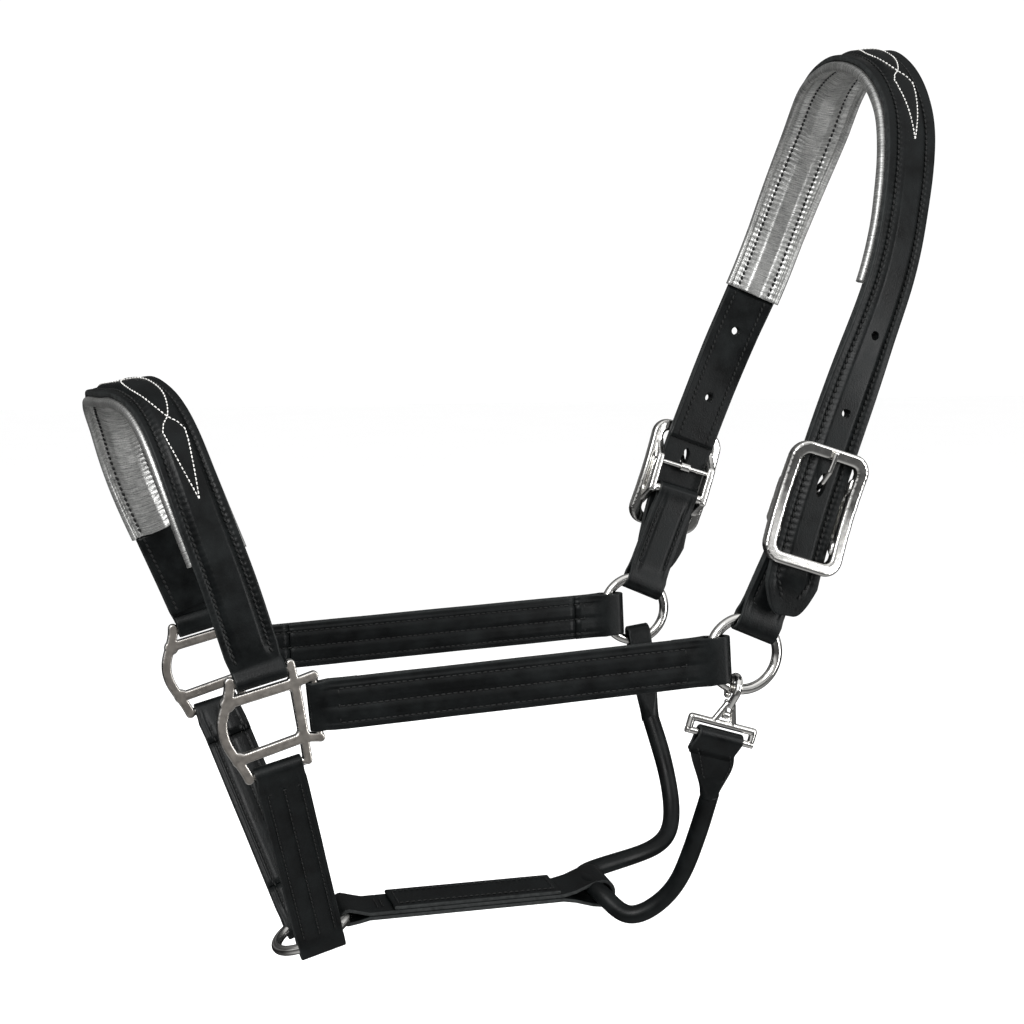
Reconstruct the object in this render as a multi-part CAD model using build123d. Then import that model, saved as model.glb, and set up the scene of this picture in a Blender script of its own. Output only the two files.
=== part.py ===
from build123d import *
import math
import os

# A leather headcollar (halter) hanging as it sits on a horse's head.
# Millimetres, +Z up, the nose towards -X, the off (right) side towards +Y.
# The origin is the poll seat: the underside of the padded crown at its highest point.

os.makedirs("parts", exist_ok=True)

# Leather
CHEEK_WIDTH = 25.4
CROWN_WIDTH = 29.5
NOSE_WIDTH = 27.5
NOSE_PAD_WIDTH = 30.0
CROWN_THICKNESS = 5.0
PAD_THICKNESS = 4.0
FACING_THICKNESS = 1.5
LEATHER = 2.2
DOUBLED = 3.3
LASH_RADIUS = 5.0
GAP = 0.3
PAD_GAP = 0.5

# Metal
RING_RADIUS = 18.9
RING_WIRE = 2.75
CHIN_RING_RADIUS = 21.2
SQUARE_BAR = 2.2
FOLD_BAR = 1.8
BUCKLE_WIDTH = 43.0
BUCKLE_HEIGHT = 63.0
BUCKLE_BAR = 2.3
ROD = 1.5

# Places, for the off side where they have a side
RING_CENTRE = Vector(-97, 84, -311)
SQUARE_CENTRE = Vector(-351.1, 78, -331.7)
SQUARE_TILT = 15.0
# The off side of the noseband sits a little further forward and higher than the near side.
NOSE_SKEW = Vector(-3.6, 0, 1.8)
CHIN_RING_CENTRE = Vector(-310, 0, -464)
CHIN_RING_TILT = 25.0

OFF, NEAR = 1, -1
SIDES = {"near": NEAR, "far": OFF}

# Centre line of the crown from the apex down the off side; the near side mirrors it.
CROWN_LINE = [
    (4, 0, 6.8), (4.5, 22, 1.8), (4.7, 42, -8.5), (5.1, 58, -26), (1.4, 70, -47.5), (-7.2, 81.5, -81),
    (-18.3, 89, -116), (-34.1, 93.5, -153.6), (-50.5, 96, -194), (-64, 97.3, -231),
    (-73, 97, -262), (-79, 96, -290),
]
# Centre line of the noseband, near end to off end. Its off side sits a little further forward.
NOSE_LINE = [
    (-351.7, -77.8, -305.4), (-353.7, -77.5, -299.2), (-363.8, -75.5, -266.2), (-373.8, -70.5, -236.2),
    (-382.3, -62.5, -209.1), (-389.4, -49, -187.1), (-396.6, -34, -174.6), (-405.5, -17, -167.9),
    (-409, 0, -167.3), (-411.2, 17, -169.5), (-409, 34, -176.2), (-403.6, 49, -188.6),
    (-396.6, 62.5, -210.1), (-387, 70.5, -236.2), (-374.7, 75.5, -264.8), (-361.2, 77.5, -296.2),
    (-358.9, 77.8, -301.8),
]
# Widths, and how far the face turns back from square, against the distance from the apex
CROWN_WIDTHS = [(0, 34.0), (100, 32.0), (200, 29.5)]
CROWN_PAD_WIDTHS = [(0, 40.0), (70, 38.0), (140, 33.8)]
CROWN_TURN = [(0, -14.0), (60, 14.0), (120, 19.0), (190, 17.0), (238, 0.0)]
NOSE_TURN = [(0, -24.0), (45, 8.0), (90, 10.0), (135, 0.0)]
LASH_LINE = [
    (-88, 79.5, -376), (-82.5, 62, -414), (-89, 45, -438), (-117, 30, -447), (-149.5, 19, -451.5),
    (-149.5, -18, -455.5), (-140, -26, -463), (-124, -33, -456), (-112.5, -48, -428),
    (-108.5, -68, -388),
]

FOLD_INNER = FOLD_BAR + GAP
FOLD_OUTER = FOLD_INNER + LEATHER
RING_FOLD = RING_WIRE + GAP + LEATHER


def write(shape, name):
    """Writes one piece to its own file."""
    shape = shape.clean() if hasattr(shape, "clean") else shape
    export_step(shape, f"parts/{name}.step")


def mirrored(points, side):
    """The same points on the given side."""
    return [(x, y * side, z) for x, y, z in points]


def bar(start, end, radius):
    """A round bar with ball ends."""
    start, end = Vector(*start), Vector(*end)
    rod = Plane(origin=start, z_dir=end - start) * Cylinder(
        radius, (end - start).length, align=(Align.CENTER, Align.CENTER, Align.MIN)
    )
    return rod + Pos(start) * Sphere(radius) + Pos(end) * Sphere(radius)


def bars(chain, radius):
    """Round bars from point to point."""
    joined = bar(chain[0], chain[1], radius)
    for start, end in zip(chain[1:-1], chain[2:]):
        joined += bar(start, end, radius)
    return joined


def graded(table, distance):
    """A value read between the rows of a table of distances and values."""
    if distance <= table[0][0]:
        return table[0][1]
    for (d0, v0), (d1, v1) in zip(table[:-1], table[1:]):
        if distance <= d1:
            return v0 + (v1 - v0) * (distance - d0) / (d1 - d0)
    return table[-1][1]


def from_apex(line, u):
    """How far a share of an arch's length lies from its apex."""
    return abs(u - 0.5) * line.length


def ribbon_plane(line, u, offset, turn):
    """The section plane of a strap at a share of its length, moved outward by an offset."""
    tangent = line.tangent_at(u)
    square = (Vector(1, 0, 0) - tangent * tangent.X).normalized()
    up = square.cross(tangent)
    angle = math.radians(graded(turn, from_apex(line, u)))
    across = square * math.cos(angle) - up * math.sin(angle)
    outward = across.cross(tangent)
    place = line.position_at(u)
    return Plane(origin=place + outward * offset, x_dir=across, z_dir=tangent)


def ribbon(line, turn, widths, inner, outer, start=0.0, end=1.0, steps=24, tail=0.0):
    """A flat strap that follows a line, between two offsets from it; tail rounds off its two ends."""
    offset, thickness = (inner + outer) / 2, outer - inner
    shares = [start + (end - start) * i / steps for i in range(steps + 1)]
    if tail:
        nips = [tail * k / 4 / line.length for k in range(4)]
        inside = [u for u in shares if nips[-1] * 1.6 < u < 1 - nips[-1] * 1.6]
        shares = nips + inside + [1 - u for u in reversed(nips)]
    sections = []
    for u in shares:
        left = min(u, 1 - u) * line.length
        width = graded(widths, from_apex(line, u))
        narrow = width * (0.3 + 0.7 * math.sqrt(left / tail)) if left < tail else width
        sections.append(ribbon_plane(line, u, offset, turn) * Rectangle(narrow, thickness))
    return loft(sections, ruled=True)


def arch(half_line):
    """A whole arch from its half, near end first."""
    return mirrored(half_line, NEAR)[:0:-1] + list(half_line)


def side_frame(origin, along, outward):
    """Local x along a strap, z outward through its face, y across its width."""
    along = along.normalized()
    outward = (outward - along * outward.dot(along)).normalized()
    return Plane(origin=origin, x_dir=along, z_dir=outward)


def slab(x0, x1, width, z0, z1):
    """A box in a strap's local frame."""
    return Pos((x0 + x1) / 2, 0, (z0 + z1) / 2) * Box(x1 - x0, width, z1 - z0)


def fold(x, direction, inner, outer, width, half_thickness, run=0.0):
    """A strap's end turned round a bar at x; run lengthens it towards the strap."""
    tip = Pos(x, 0, 0) * Rot(90, 0, 0) * Cylinder(outer, width)
    back = x + direction * run
    end = back + direction * outer * 2.2
    body = Polyline(
        (x, outer), (back, outer), (end, half_thickness), (end, -half_thickness),
        (back, -outer), (x, -outer), close=True,
    ) if run else Polyline(
        (x, outer), (end, half_thickness), (end, -half_thickness), (x, -outer), close=True,
    )
    taper = extrude(Plane.XZ * make_face(body), width / 2, both=True)
    solid = tip + taper
    if inner:
        solid -= Pos(x, 0, 0) * Rot(90, 0, 0) * Cylinder(inner, width + 1)
    return solid


def ring_at(centre, axis, radius, wire):
    """A welded round ring."""
    return Plane(origin=centre, z_dir=axis) * Torus(radius, wire)


# ---- places worked out from the driving dimensions ----

def square_plane(side):
    """The plane of a cheek square: local x runs back and up, local y runs up and forward."""
    centre = Vector(SQUARE_CENTRE.X, SQUARE_CENTRE.Y * side, SQUARE_CENTRE.Z) + NOSE_SKEW * side
    tilt = math.radians(SQUARE_TILT)
    return Plane(origin=centre, x_dir=(math.cos(tilt), 0, math.sin(tilt)), z_dir=(0, -1, 0))


def on_square(side, x, y):
    return square_plane(side).from_local_coords(Vector(x, y, 0))


def ring_centre(side):
    return Vector(RING_CENTRE.X, RING_CENTRE.Y * side, RING_CENTRE.Z)


# Centre lines of the square's bars in its own plane
FRONT_BAR = [(-11.8, 23.8), (-16, 14.2), (-20.8, 5), (-21.6, -4.5), (-18.6, -15), (-15.6, -25.4)]
BACK_CORNERS = [(-16, 14.2), (18.8, 14), (16.2, -13.6), (-18.6, -15)]
HORNS = [((18.8, 14), (19.4, 23.8)), ((18.8, 14), (29, 14.6)),
         ((16.2, -13.6), (24, -16.2)), ((16.2, -13.6), (14.8, -25.2))]
TOP_FOLD_BAR = ((-12, 21.9), (19.3, 21.9))
CHEEK_FOLD_BAR = ((28.7, 14.6), (23.6, -16.2))
CHIN_FOLD_BAR = ((-15.5, -25.2), (14.8, -25.2))
FOLD_WIDTH = 24.4
SQUARE_THICKNESS = 3.8


def middle(bar_ends):
    (x0, y0), (x1, y1) = bar_ends
    return (x0 + x1) / 2, (y0 + y1) / 2


def cheek_square(side):
    """A cast square: a window, a bowed front, and horns that carry three bars for the straps."""
    flat = trace(Spline(*FRONT_BAR), SQUARE_BAR * 2)
    for x, y in (FRONT_BAR[0], FRONT_BAR[-1]):
        flat += Pos(x, y) * Circle(SQUARE_BAR)
    runs = list(zip(BACK_CORNERS[:-1], BACK_CORNERS[1:])) + HORNS
    for (x0, y0), (x1, y1) in runs:
        length = math.hypot(x1 - x0, y1 - y0)
        angle = math.degrees(math.atan2(y1 - y0, x1 - x0))
        width = SQUARE_BAR * 2 if ((x0, y0), (x1, y1)) not in HORNS else SQUARE_BAR * 1.7
        flat += (Pos((x0 + x1) / 2, (y0 + y1) / 2) * Rot(0, 0, angle)
                 * SlotCenterToCenter(length, width))
    body = extrude(flat, SQUARE_THICKNESS / 2, both=True)
    for ends in (TOP_FOLD_BAR, CHEEK_FOLD_BAR, CHIN_FOLD_BAR):
        body += bar((*ends[0], 0), (*ends[1], 0), FOLD_BAR)
    return square_plane(side) * body


# ---- buckles: local x up the strap, y across it, z outward, origin at the strap's middle ----

END_BAR_Z = CROWN_THICKNESS / 2 + 2 * GAP + BUCKLE_BAR
END_X = BUCKLE_HEIGHT / 2 - BUCKLE_BAR
ROD_X, ROD_Z = 7.0, -6.3
CHAPE_X = -9.0
CHAPE_Z = -(CROWN_THICKNESS / 2 + 2 * GAP + FOLD_OUTER)
RAIL_Y = CROWN_WIDTH / 2 + 2.2
TONGUE_RADIUS = 1.35
BUCKLE_Z = -234.0
FACING_END_Z = -213.0
CROWN_PAD_END_Z = -124.0
NOSE_PAD_END_Z = -252.0
HOLE_PITCH_Z = (-146.0, -186.0)
HOLE_RADIUS = 2.3

crown_line = Spline(*arch(CROWN_LINE))
nose_line = Spline(*NOSE_LINE)


def share_at(line, z, side):
    """The share of an arch's length at which one of its legs passes a height."""
    shares = [0.5 + side * 0.5 * i / 400 for i in range(401)]
    return min(shares, key=lambda u: abs(line.position_at(u).Z - z))


def strap_frame(z, side):
    """A crown leg's frame: local x up the strap, z outward."""
    section = ribbon_plane(crown_line, share_at(crown_line, z, side), 0, CROWN_TURN)
    return Plane(origin=section.origin, x_dir=section.z_dir * -side, z_dir=section.y_dir * -1
                 if section.y_dir.Y * side < 0 else section.y_dir)


def buckle_frame(side):
    """A bent frame with bowed sides, and inner rails that hold the tongue rod and the chape bar."""
    opening = RectangleRounded(BUCKLE_HEIGHT - 4 * BUCKLE_BAR, BUCKLE_WIDTH - 4 * BUCKLE_BAR, 5.0)
    outline = RectangleRounded(BUCKLE_HEIGHT, BUCKLE_WIDTH, 9.0)
    high, low, half = END_BAR_Z + BUCKLE_BAR - 0.4, 1.6 + BUCKLE_BAR, BUCKLE_HEIGHT / 2 + 1
    thick = 2 * BUCKLE_BAR - 0.4
    crown = ThreePointArc((-half, 0, high), (0, 0, low), (half, 0, high))
    foot = ThreePointArc((half, 0, high - thick), (0, 0, low - thick), (-half, 0, high - thick))
    band = make_face(Curve() + [crown, Line(crown @ 1, foot @ 0), foot, Line(foot @ 1, crown @ 0)])
    body = extrude(outline - opening, 20, both=True) & extrude(band, BUCKLE_WIDTH, both=True)
    rail = Polyline((20, 3), (13.5, -4), (10, -8.4), (-11, -9.4), (-14, -5), (-20, 3),
                    (-15, 3), (-10.5, -3.5), (9, -3.5), (14.5, 3), close=True)
    plate = extrude(Plane.XZ * make_face(rail), 1.4, both=True)
    for edge in (-1, 1):
        body += Pos(0, edge * RAIL_Y, 0) * plate
    body += Pos(CHAPE_X, 0, CHAPE_Z) * Rot(90, 0, 0) * Cylinder(FOLD_BAR, 2 * RAIL_Y)
    rod_seat = Pos(ROD_X, 0, ROD_Z) * Rot(90, 0, 0) * Cylinder(ROD, 2 * RAIL_Y + 3)
    return strap_frame(BUCKLE_Z, side) * (body - rod_seat)


def tongue_rod(side):
    rod = Pos(ROD_X, 0, ROD_Z) * Rot(90, 0, 0) * Cylinder(ROD, 2 * RAIL_Y + 1)
    return strap_frame(BUCKLE_Z, side) * rod


def tongue(side):
    """A bent tongue with a knuckle on its rod; it comes up through the strap and lies on the end bar."""
    knuckle = Pos(ROD_X, 0, ROD_Z) * Rot(90, 0, 0) * Cylinder(3.0, 6.0)
    reach = [(ROD_X + 1.8, 0, ROD_Z + 1.8), (10.5, 0, -1.5), (14, 0, 3.2), (20, 0, 7.6),
             (END_X + 0.5, 0, END_BAR_Z + BUCKLE_BAR + TONGUE_RADIUS + 0.4)]
    body = knuckle + bars(reach, TONGUE_RADIUS)
    body -= Pos(ROD_X, 0, ROD_Z) * Rot(90, 0, 0) * Cylinder(ROD + 0.06, 10)
    return strap_frame(BUCKLE_Z, side) * body


# ---- crown ----

def crown_strap():
    """The headpiece from tail to tail, with its buckle holes and pointed ends."""
    half = CROWN_THICKNESS / 2
    strap = ribbon(crown_line, CROWN_TURN, CROWN_WIDTHS, -half, half, steps=72, tail=16.0)
    for side in SIDES.values():
        for z in HOLE_PITCH_Z:
            strap -= strap_frame(z, side) * Cylinder(HOLE_RADIUS, 20)
        buckle = strap_frame(BUCKLE_Z, side)
        strap -= buckle * Pos(12.0, 0, 0) * extrude(SlotOverall(13.0, 4.8), 6, both=True)
    return strap


def crown_lining():
    """The padded lining under the poll."""
    outer = -(CROWN_THICKNESS / 2 + PAD_GAP)
    return ribbon(crown_line, CROWN_TURN, CROWN_PAD_WIDTHS, outer - PAD_THICKNESS, outer,
                  share_at(crown_line, CROWN_PAD_END_Z, NEAR), share_at(crown_line, CROWN_PAD_END_Z, OFF), 40)


def facing(line, turn, width, thickness, side, top_z, foot_z):
    """The thin inner facing below the padded lining."""
    outer = -(thickness / 2 + PAD_GAP)
    span = sorted((share_at(line, top_z, side), share_at(line, foot_z, side)))
    return ribbon(line, turn, [(0, width)], outer - FACING_THICKNESS, outer, span[0], span[1], 8)


def chape(side):
    """The short doubled strap from the ring's top up round the buckle's chape bar."""
    buckle = strap_frame(BUCKLE_Z, side)
    start = buckle.from_local_coords(Vector(CHAPE_X, 0, CHAPE_Z))
    centre = ring_centre(side)
    down = centre - start
    inner_end = 9.5
    length = down.length - inner_end - RING_FOLD
    half = DOUBLED - 0.6
    turned = bar_frame(side, start, buckle.y_dir, down) * (
        fold(0, 1, FOLD_INNER, FOLD_OUTER, CHEEK_WIDTH - 1, half)
        + slab(3.2, 10, CHEEK_WIDTH - 1, -half, half)
    )
    body = slab(8, length - 6, CHEEK_WIDTH - 1, -half, half)
    body += fold(length, -1, 0, RING_FOLD, CHEEK_WIDTH - 3.4, half,
                 run=RING_RADIUS - inner_end - RING_FOLD)
    return side_frame(start, down, Vector(0, side, 0)) * body + turned - ring_channel(side)


def ring_channel(side):
    """The space that a cheek ring's wire takes in a fold, with running room."""
    return ring_at(ring_centre(side), (0, 1, 0), RING_RADIUS, RING_WIRE + GAP)


# ---- noseband ----

def bar_frame(side, place, across, toward):
    """A strap's frame at a bar: y along the bar, x as near to a direction as that allows."""
    outward = across.cross(toward).normalized()
    outward = outward if outward.Y * side > 0 else outward * -1
    along = (toward - across * toward.dot(across)).normalized()
    return Plane(origin=place, x_dir=along, z_dir=outward)


def square_bar_frame(side, ends, toward):
    """A strap's frame at one of the square's bars."""
    start, end = (on_square(side, *p) for p in ends)
    return bar_frame(side, on_square(side, *middle(ends)), (end - start).normalized(), toward)


def end_fold(side, ends, toward, width, half_thickness, length):
    """A strap's turned end round a square's bar, with the flat stretch that joins it to the strap."""
    frame = square_bar_frame(side, ends, toward)
    return frame * (fold(0, 1, FOLD_INNER, FOLD_OUTER, width, half_thickness)
                    + slab(3.2, length, width, -half_thickness, half_thickness))


def noseband_strap():
    """The raised noseband from square to square."""
    half = CROWN_THICKNESS / 2
    strap = ribbon(nose_line, NOSE_TURN, [(0, NOSE_WIDTH)], -half, half, steps=48)
    for side in SIDES.values():
        origin = on_square(side, *middle(TOP_FOLD_BAR))
        end = nose_line.position_at(0.5 + 0.5 * side)
        strap += end_fold(side, TOP_FOLD_BAR, end - origin, FOLD_WIDTH, half,
                          (end - origin).length + 0.5)
    return strap


def noseband_lining():
    """The padded lining over the nose."""
    outer = -(CROWN_THICKNESS / 2 + PAD_GAP)
    return ribbon(nose_line, NOSE_TURN, [(0, NOSE_PAD_WIDTH)], outer - PAD_THICKNESS, outer,
                  share_at(nose_line, NOSE_PAD_END_Z, NEAR), share_at(nose_line, NOSE_PAD_END_Z, OFF), 30)


# ---- cheek and chin straps ----

CHEEK_END = 7.0
CHEEK_DROP = 1.8


def cheek_parts(side):
    """The outer cheek strap, turned round the square and the ring, and the liner between its ends."""
    start = on_square(side, *middle(CHEEK_FOLD_BAR))
    centre = ring_centre(side) - Vector(0, 0, CHEEK_DROP)
    along = centre - start
    length = along.length - CHEEK_END - RING_FOLD
    frame = side_frame(start, along, Vector(0, side, 0))
    front = end_fold(side, CHEEK_FOLD_BAR, along, FOLD_WIDTH, DOUBLED, 10)
    strap = slab(7, length - 8, CHEEK_WIDTH, 0, DOUBLED)
    strap += slab(7, 22, CHEEK_WIDTH, -DOUBLED, 0) + slab(length - 26, length - 8, CHEEK_WIDTH, -DOUBLED, 0)
    strap += fold(length, -1, 0, RING_FOLD, CHEEK_WIDTH - 1, DOUBLED,
                  run=RING_RADIUS - CHEEK_END - RING_FOLD)
    liner = slab(22 + GAP, length - 26 - GAP, CHEEK_WIDTH - 0.4, -DOUBLED, -0.1)
    return (frame * strap + front) - ring_channel(side), frame * liner


def chin_parts(side):
    """The outer chin strap from the square down round the chin ring, and its liner."""
    start = on_square(side, *middle(CHIN_FOLD_BAR))
    end = CHIN_RING_CENTRE + Vector(0, CHIN_RING_RADIUS * side, 0)
    along = end - start
    length = along.length
    aligned = square_bar_frame(side, CHIN_FOLD_BAR, along)
    frame = side_frame(start, along, aligned.z_dir)
    front = end_fold(side, CHIN_FOLD_BAR, along, FOLD_WIDTH, DOUBLED, 10)
    strap = slab(7, length - 7, CHEEK_WIDTH, 0, DOUBLED)
    strap += slab(7, 20, CHEEK_WIDTH, -DOUBLED, 0) + slab(length - 22, length - 7, CHEEK_WIDTH, -DOUBLED, 0)
    strap += fold(length, -1, 0, RING_FOLD, CHEEK_WIDTH, DOUBLED, run=3.0)
    strap += slab(length, length + 3.0, CHEEK_WIDTH, -RING_FOLD, RING_FOLD)
    strap += Pos(length + 3.0, 0, 0) * Rot(90, 0, 0) * Cylinder(RING_FOLD, CHEEK_WIDTH)
    liner = slab(20 + GAP, length - 22 - GAP, CHEEK_WIDTH - 0.4, -DOUBLED, -0.1)
    return (frame * strap + front) - chin_channel(), frame * liner


def chin_axis():
    tilt = math.radians(CHIN_RING_TILT)
    return (-math.sin(tilt), 0, math.cos(tilt))


def chin_channel():
    return ring_at(CHIN_RING_CENTRE, chin_axis(), CHIN_RING_RADIUS, RING_WIRE + GAP)


# ---- jowl strap and throat lash ----

def smooth_path(points):
    """Straight runs joined by arcs as large as the runs allow."""
    places = [Vector(*p) for p in points]
    radii = []
    for before, here, after in zip(places[:-2], places[1:-1], places[2:]):
        arriving, leaving = here - before, after - here
        turn = math.radians(arriving.get_angle(leaving))
        radii.append(0.45 * min(arriving.length, leaving.length) / math.tan(turn / 2))
    return FilletPolyline(*places, radius=radii), radii


def throat_lash():
    """The rolled throat lash from the off tab, through the jowl loop, to the near tab."""
    path, radii = smooth_path(LASH_LINE)
    print("throat lash radii", [round(r, 1) for r in radii], "length", round(path.length, 1))
    section = Plane(origin=path @ 0, z_dir=path % 0) * Circle(LASH_RADIUS)
    return sweep(section, path=path)


JOWL_TAIL = Vector(-149.5, 0.5, -453.5)
JOWL_LEAN = Vector(0, -0.108, 1)
JOWL_LOOP = LASH_RADIUS + 2.8


def jowl_parts():
    """The strap under the jaw from the chin ring to a loop round the throat lash, and its top layer."""
    tilt = math.radians(CHIN_RING_TILT)
    start = CHIN_RING_CENTRE + Vector(math.cos(tilt), 0, math.sin(tilt)) * CHIN_RING_RADIUS
    along = JOWL_TAIL - start
    length = along.length
    frame = side_frame(start, along, JOWL_LEAN)
    width = CHEEK_WIDTH - 0.6
    strap = slab(6, length - 8, width, -2.9, 1.9)
    strap += fold(0, 1, 0, RING_FOLD, width, 1.9, run=4.0)
    strap += slab(-2, 0, width, -RING_FOLD, RING_FOLD)
    strap += fold(length, -1, JOWL_LOOP, JOWL_LOOP + LEATHER, width, 2.4)
    cover = slab(24, length - 24, width, 2.2, 4.4)
    return frame * strap - chin_channel(), frame * cover


# ---- throat snap: local x along its crossbar, y up the snap, z outward ----

SNAP_PULL = Vector(-0.29, 0, -0.957)
SNAP_HOOK = 6.4
SNAP_WIRE = 2.0
SNAP_HALF = 18.0
SNAP_TOP_Y = -19.5
CROSSBAR_Y = -26.5
GATE_PIVOT_Y = -14.5


def snap_frame_plane():
    pull = SNAP_PULL.normalized()
    contact = ring_centre(NEAR) + pull * RING_RADIUS
    return Plane(origin=contact, x_dir=Vector(-pull.Z, 0, pull.X), z_dir=(0, -1, 0))


def snap_body():
    """The hook over the ring, its forked shank and the bracket with two lugs."""
    angles = [math.radians(a) for a in range(-40, 221, 20)]
    hook = [(0, SNAP_HOOK * math.sin(a), SNAP_HOOK * math.cos(a)) for a in angles]
    body = bars([(0, -9.0, 2.0)] + hook, SNAP_WIRE)
    for edge in (-1, 1):
        body += bar((edge * 1.6, -8.5, 1.6), (edge * 6.0, SNAP_TOP_Y, 0), 1.7)
        body += bar((edge * SNAP_HALF, SNAP_TOP_Y, 0), (edge * SNAP_HALF, CROSSBAR_Y, 0), SNAP_WIRE)
    body += bar((-SNAP_HALF, SNAP_TOP_Y, 0), (SNAP_HALF, SNAP_TOP_Y, 0), SNAP_WIRE)
    body -= Pos(0, CROSSBAR_Y, 0) * Rot(0, 90, 0) * Cylinder(FOLD_BAR + 0.06, 60)
    body -= gate_pin_local(0.0)
    body -= Pos(0, GATE_PIVOT_Y + 0.6, -1) * Box(3.8, 7.2, 8)
    return snap_frame_plane() * body


def gate_pin_local(extra):
    return Pos(0, GATE_PIVOT_Y, 0) * Rot(0, 90, 0) * Cylinder(0.9 + extra, 9.0)


def snap_gate():
    """The spring gate that closes the hook from inside."""
    body = Pos(0, GATE_PIVOT_Y, 0) * Rot(0, 90, 0) * Cylinder(2.0, 3.2)
    body += bar((0, GATE_PIVOT_Y + 1, -1.6), (0, -7.6, -4.0), 1.1)
    return snap_frame_plane() * (body - gate_pin_local(0.06))


def near_tab():
    """The tab folded round the snap's crossbar, narrowing into the rolled lash."""
    plane = snap_frame_plane()
    start = plane.from_local_coords(Vector(0, CROSSBAR_Y, 0))
    end = Vector(*LASH_LINE[-1])
    across = plane.x_dir
    down = (end - start) - across * (end - start).dot(across)
    frame = Plane(origin=start, x_dir=down, z_dir=down.cross(across))
    foot = frame.to_local_coords(end)
    body = fold(0, 1, FOLD_INNER, FOLD_OUTER, 25.0, 2.4)
    outline = Polyline((3.2, 12.5), (16, 12 + 0.35 * foot.Y), (foot.X, foot.Y + 5.2),
                       (foot.X, foot.Y - 5.2), (16, 0.35 * foot.Y - 12), (3.2, -12.5), close=True)
    return frame * (body + extrude(make_face(outline), 2.4, both=True))


TAB_FOLD_WIDTH = 12.5


def far_tab():
    """The tab sewn round the off ring, narrowing into the rolled lash."""
    centre = ring_centre(OFF)
    end = Vector(*LASH_LINE[0])
    down = end - centre
    inner_end = 9.5
    frame = side_frame(centre, down, Vector(0, 1, 0))
    tip = inner_end + RING_FOLD
    body = fold(tip, 1, 0, RING_FOLD, TAB_FOLD_WIDTH, 2.4, run=RING_RADIUS - tip + 1.0)
    edge = TAB_FOLD_WIDTH / 2
    outline = Polyline((tip, edge), (38, 8.0), (down.length, 5.0),
                       (down.length, -5.0), (38, -8.0), (tip, -edge), close=True)
    body += extrude(make_face(outline), 2.4, both=True)
    return frame * body - ring_channel(OFF)


# ---- every piece ----

write(crown_strap(), "crown_strap")
write(crown_lining(), "crown_lining")
write(noseband_strap(), "noseband_strap")
write(noseband_lining(), "noseband_lining")
for name, side in SIDES.items():
    write(facing(crown_line, CROWN_TURN, CROWN_WIDTH - 1, CROWN_THICKNESS, side,
                 CROWN_PAD_END_Z - 0.8, FACING_END_Z), f"{name}_crown_facing")
    write(facing(nose_line, NOSE_TURN, NOSE_WIDTH - 2, CROWN_THICKNESS, side,
                 NOSE_PAD_END_Z - 0.8, -296.0), f"{name}_noseband_facing")
    write(cheek_square(side), f"{name}_square")
    write(ring_at(ring_centre(side), (0, 1, 0), RING_RADIUS, RING_WIRE), f"{name}_cheek_ring")
    cheek, cheek_liner = cheek_parts(side)
    write(cheek, f"{name}_cheek_strap")
    write(cheek_liner, f"{name}_cheek_liner")
    chin, chin_liner = chin_parts(side)
    write(chin, f"{name}_chin_strap")
    write(chin_liner, f"{name}_chin_liner")
    write(chape(side), f"{name}_chape")
    write(buckle_frame(side), f"{name}_buckle")
    write(tongue_rod(side), f"{name}_tongue_rod")
    write(tongue(side), f"{name}_tongue")
write(ring_at(CHIN_RING_CENTRE, chin_axis(), CHIN_RING_RADIUS, RING_WIRE), "chin_ring")
jowl, jowl_cover = jowl_parts()
write(jowl, "jowl_strap")
write(jowl_cover, "jowl_cover")
write(throat_lash(), "throat_lash")
write(near_tab(), "near_lash_tab")
write(far_tab(), "far_lash_tab")
write(snap_body(), "snap_frame")
write(snap_frame_plane() * Pos(0, CROSSBAR_Y, 0) * Rot(0, 90, 0) * Cylinder(FOLD_BAR, 2 * SNAP_HALF + 3),
      "snap_crossbar")
write(snap_frame_plane() * gate_pin_local(0.0), "snap_gate_pin")
write(snap_gate(), "snap_gate")
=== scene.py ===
import math
import random

import bmesh
import bpy
import numpy as np
from mathutils import Matrix, Vector


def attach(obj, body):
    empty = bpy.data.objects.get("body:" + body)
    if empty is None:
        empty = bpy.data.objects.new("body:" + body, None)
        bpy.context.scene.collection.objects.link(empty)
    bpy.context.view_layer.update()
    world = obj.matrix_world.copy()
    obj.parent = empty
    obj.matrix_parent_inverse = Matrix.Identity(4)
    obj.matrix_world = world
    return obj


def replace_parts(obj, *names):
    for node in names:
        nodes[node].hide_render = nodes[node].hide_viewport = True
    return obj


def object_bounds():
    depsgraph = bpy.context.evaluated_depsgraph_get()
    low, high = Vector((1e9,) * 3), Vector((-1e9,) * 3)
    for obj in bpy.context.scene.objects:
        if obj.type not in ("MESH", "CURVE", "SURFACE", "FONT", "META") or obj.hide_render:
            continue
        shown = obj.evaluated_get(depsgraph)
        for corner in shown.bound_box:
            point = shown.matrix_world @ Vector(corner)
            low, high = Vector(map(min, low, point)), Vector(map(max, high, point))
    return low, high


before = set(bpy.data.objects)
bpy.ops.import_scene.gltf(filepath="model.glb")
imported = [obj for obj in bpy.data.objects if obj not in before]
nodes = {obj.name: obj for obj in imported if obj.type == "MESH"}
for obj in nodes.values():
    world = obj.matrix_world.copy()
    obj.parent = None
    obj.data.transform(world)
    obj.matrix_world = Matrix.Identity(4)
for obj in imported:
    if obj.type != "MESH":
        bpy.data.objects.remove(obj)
cad_box = [list(corner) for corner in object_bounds()]
random.seed(7)

# ---------------------------------------------------------------- sizes, in millimetres
MM = 0.001
NEAR, OFF = -1, 1
SIDES = {"near": NEAR, "far": OFF}

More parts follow.
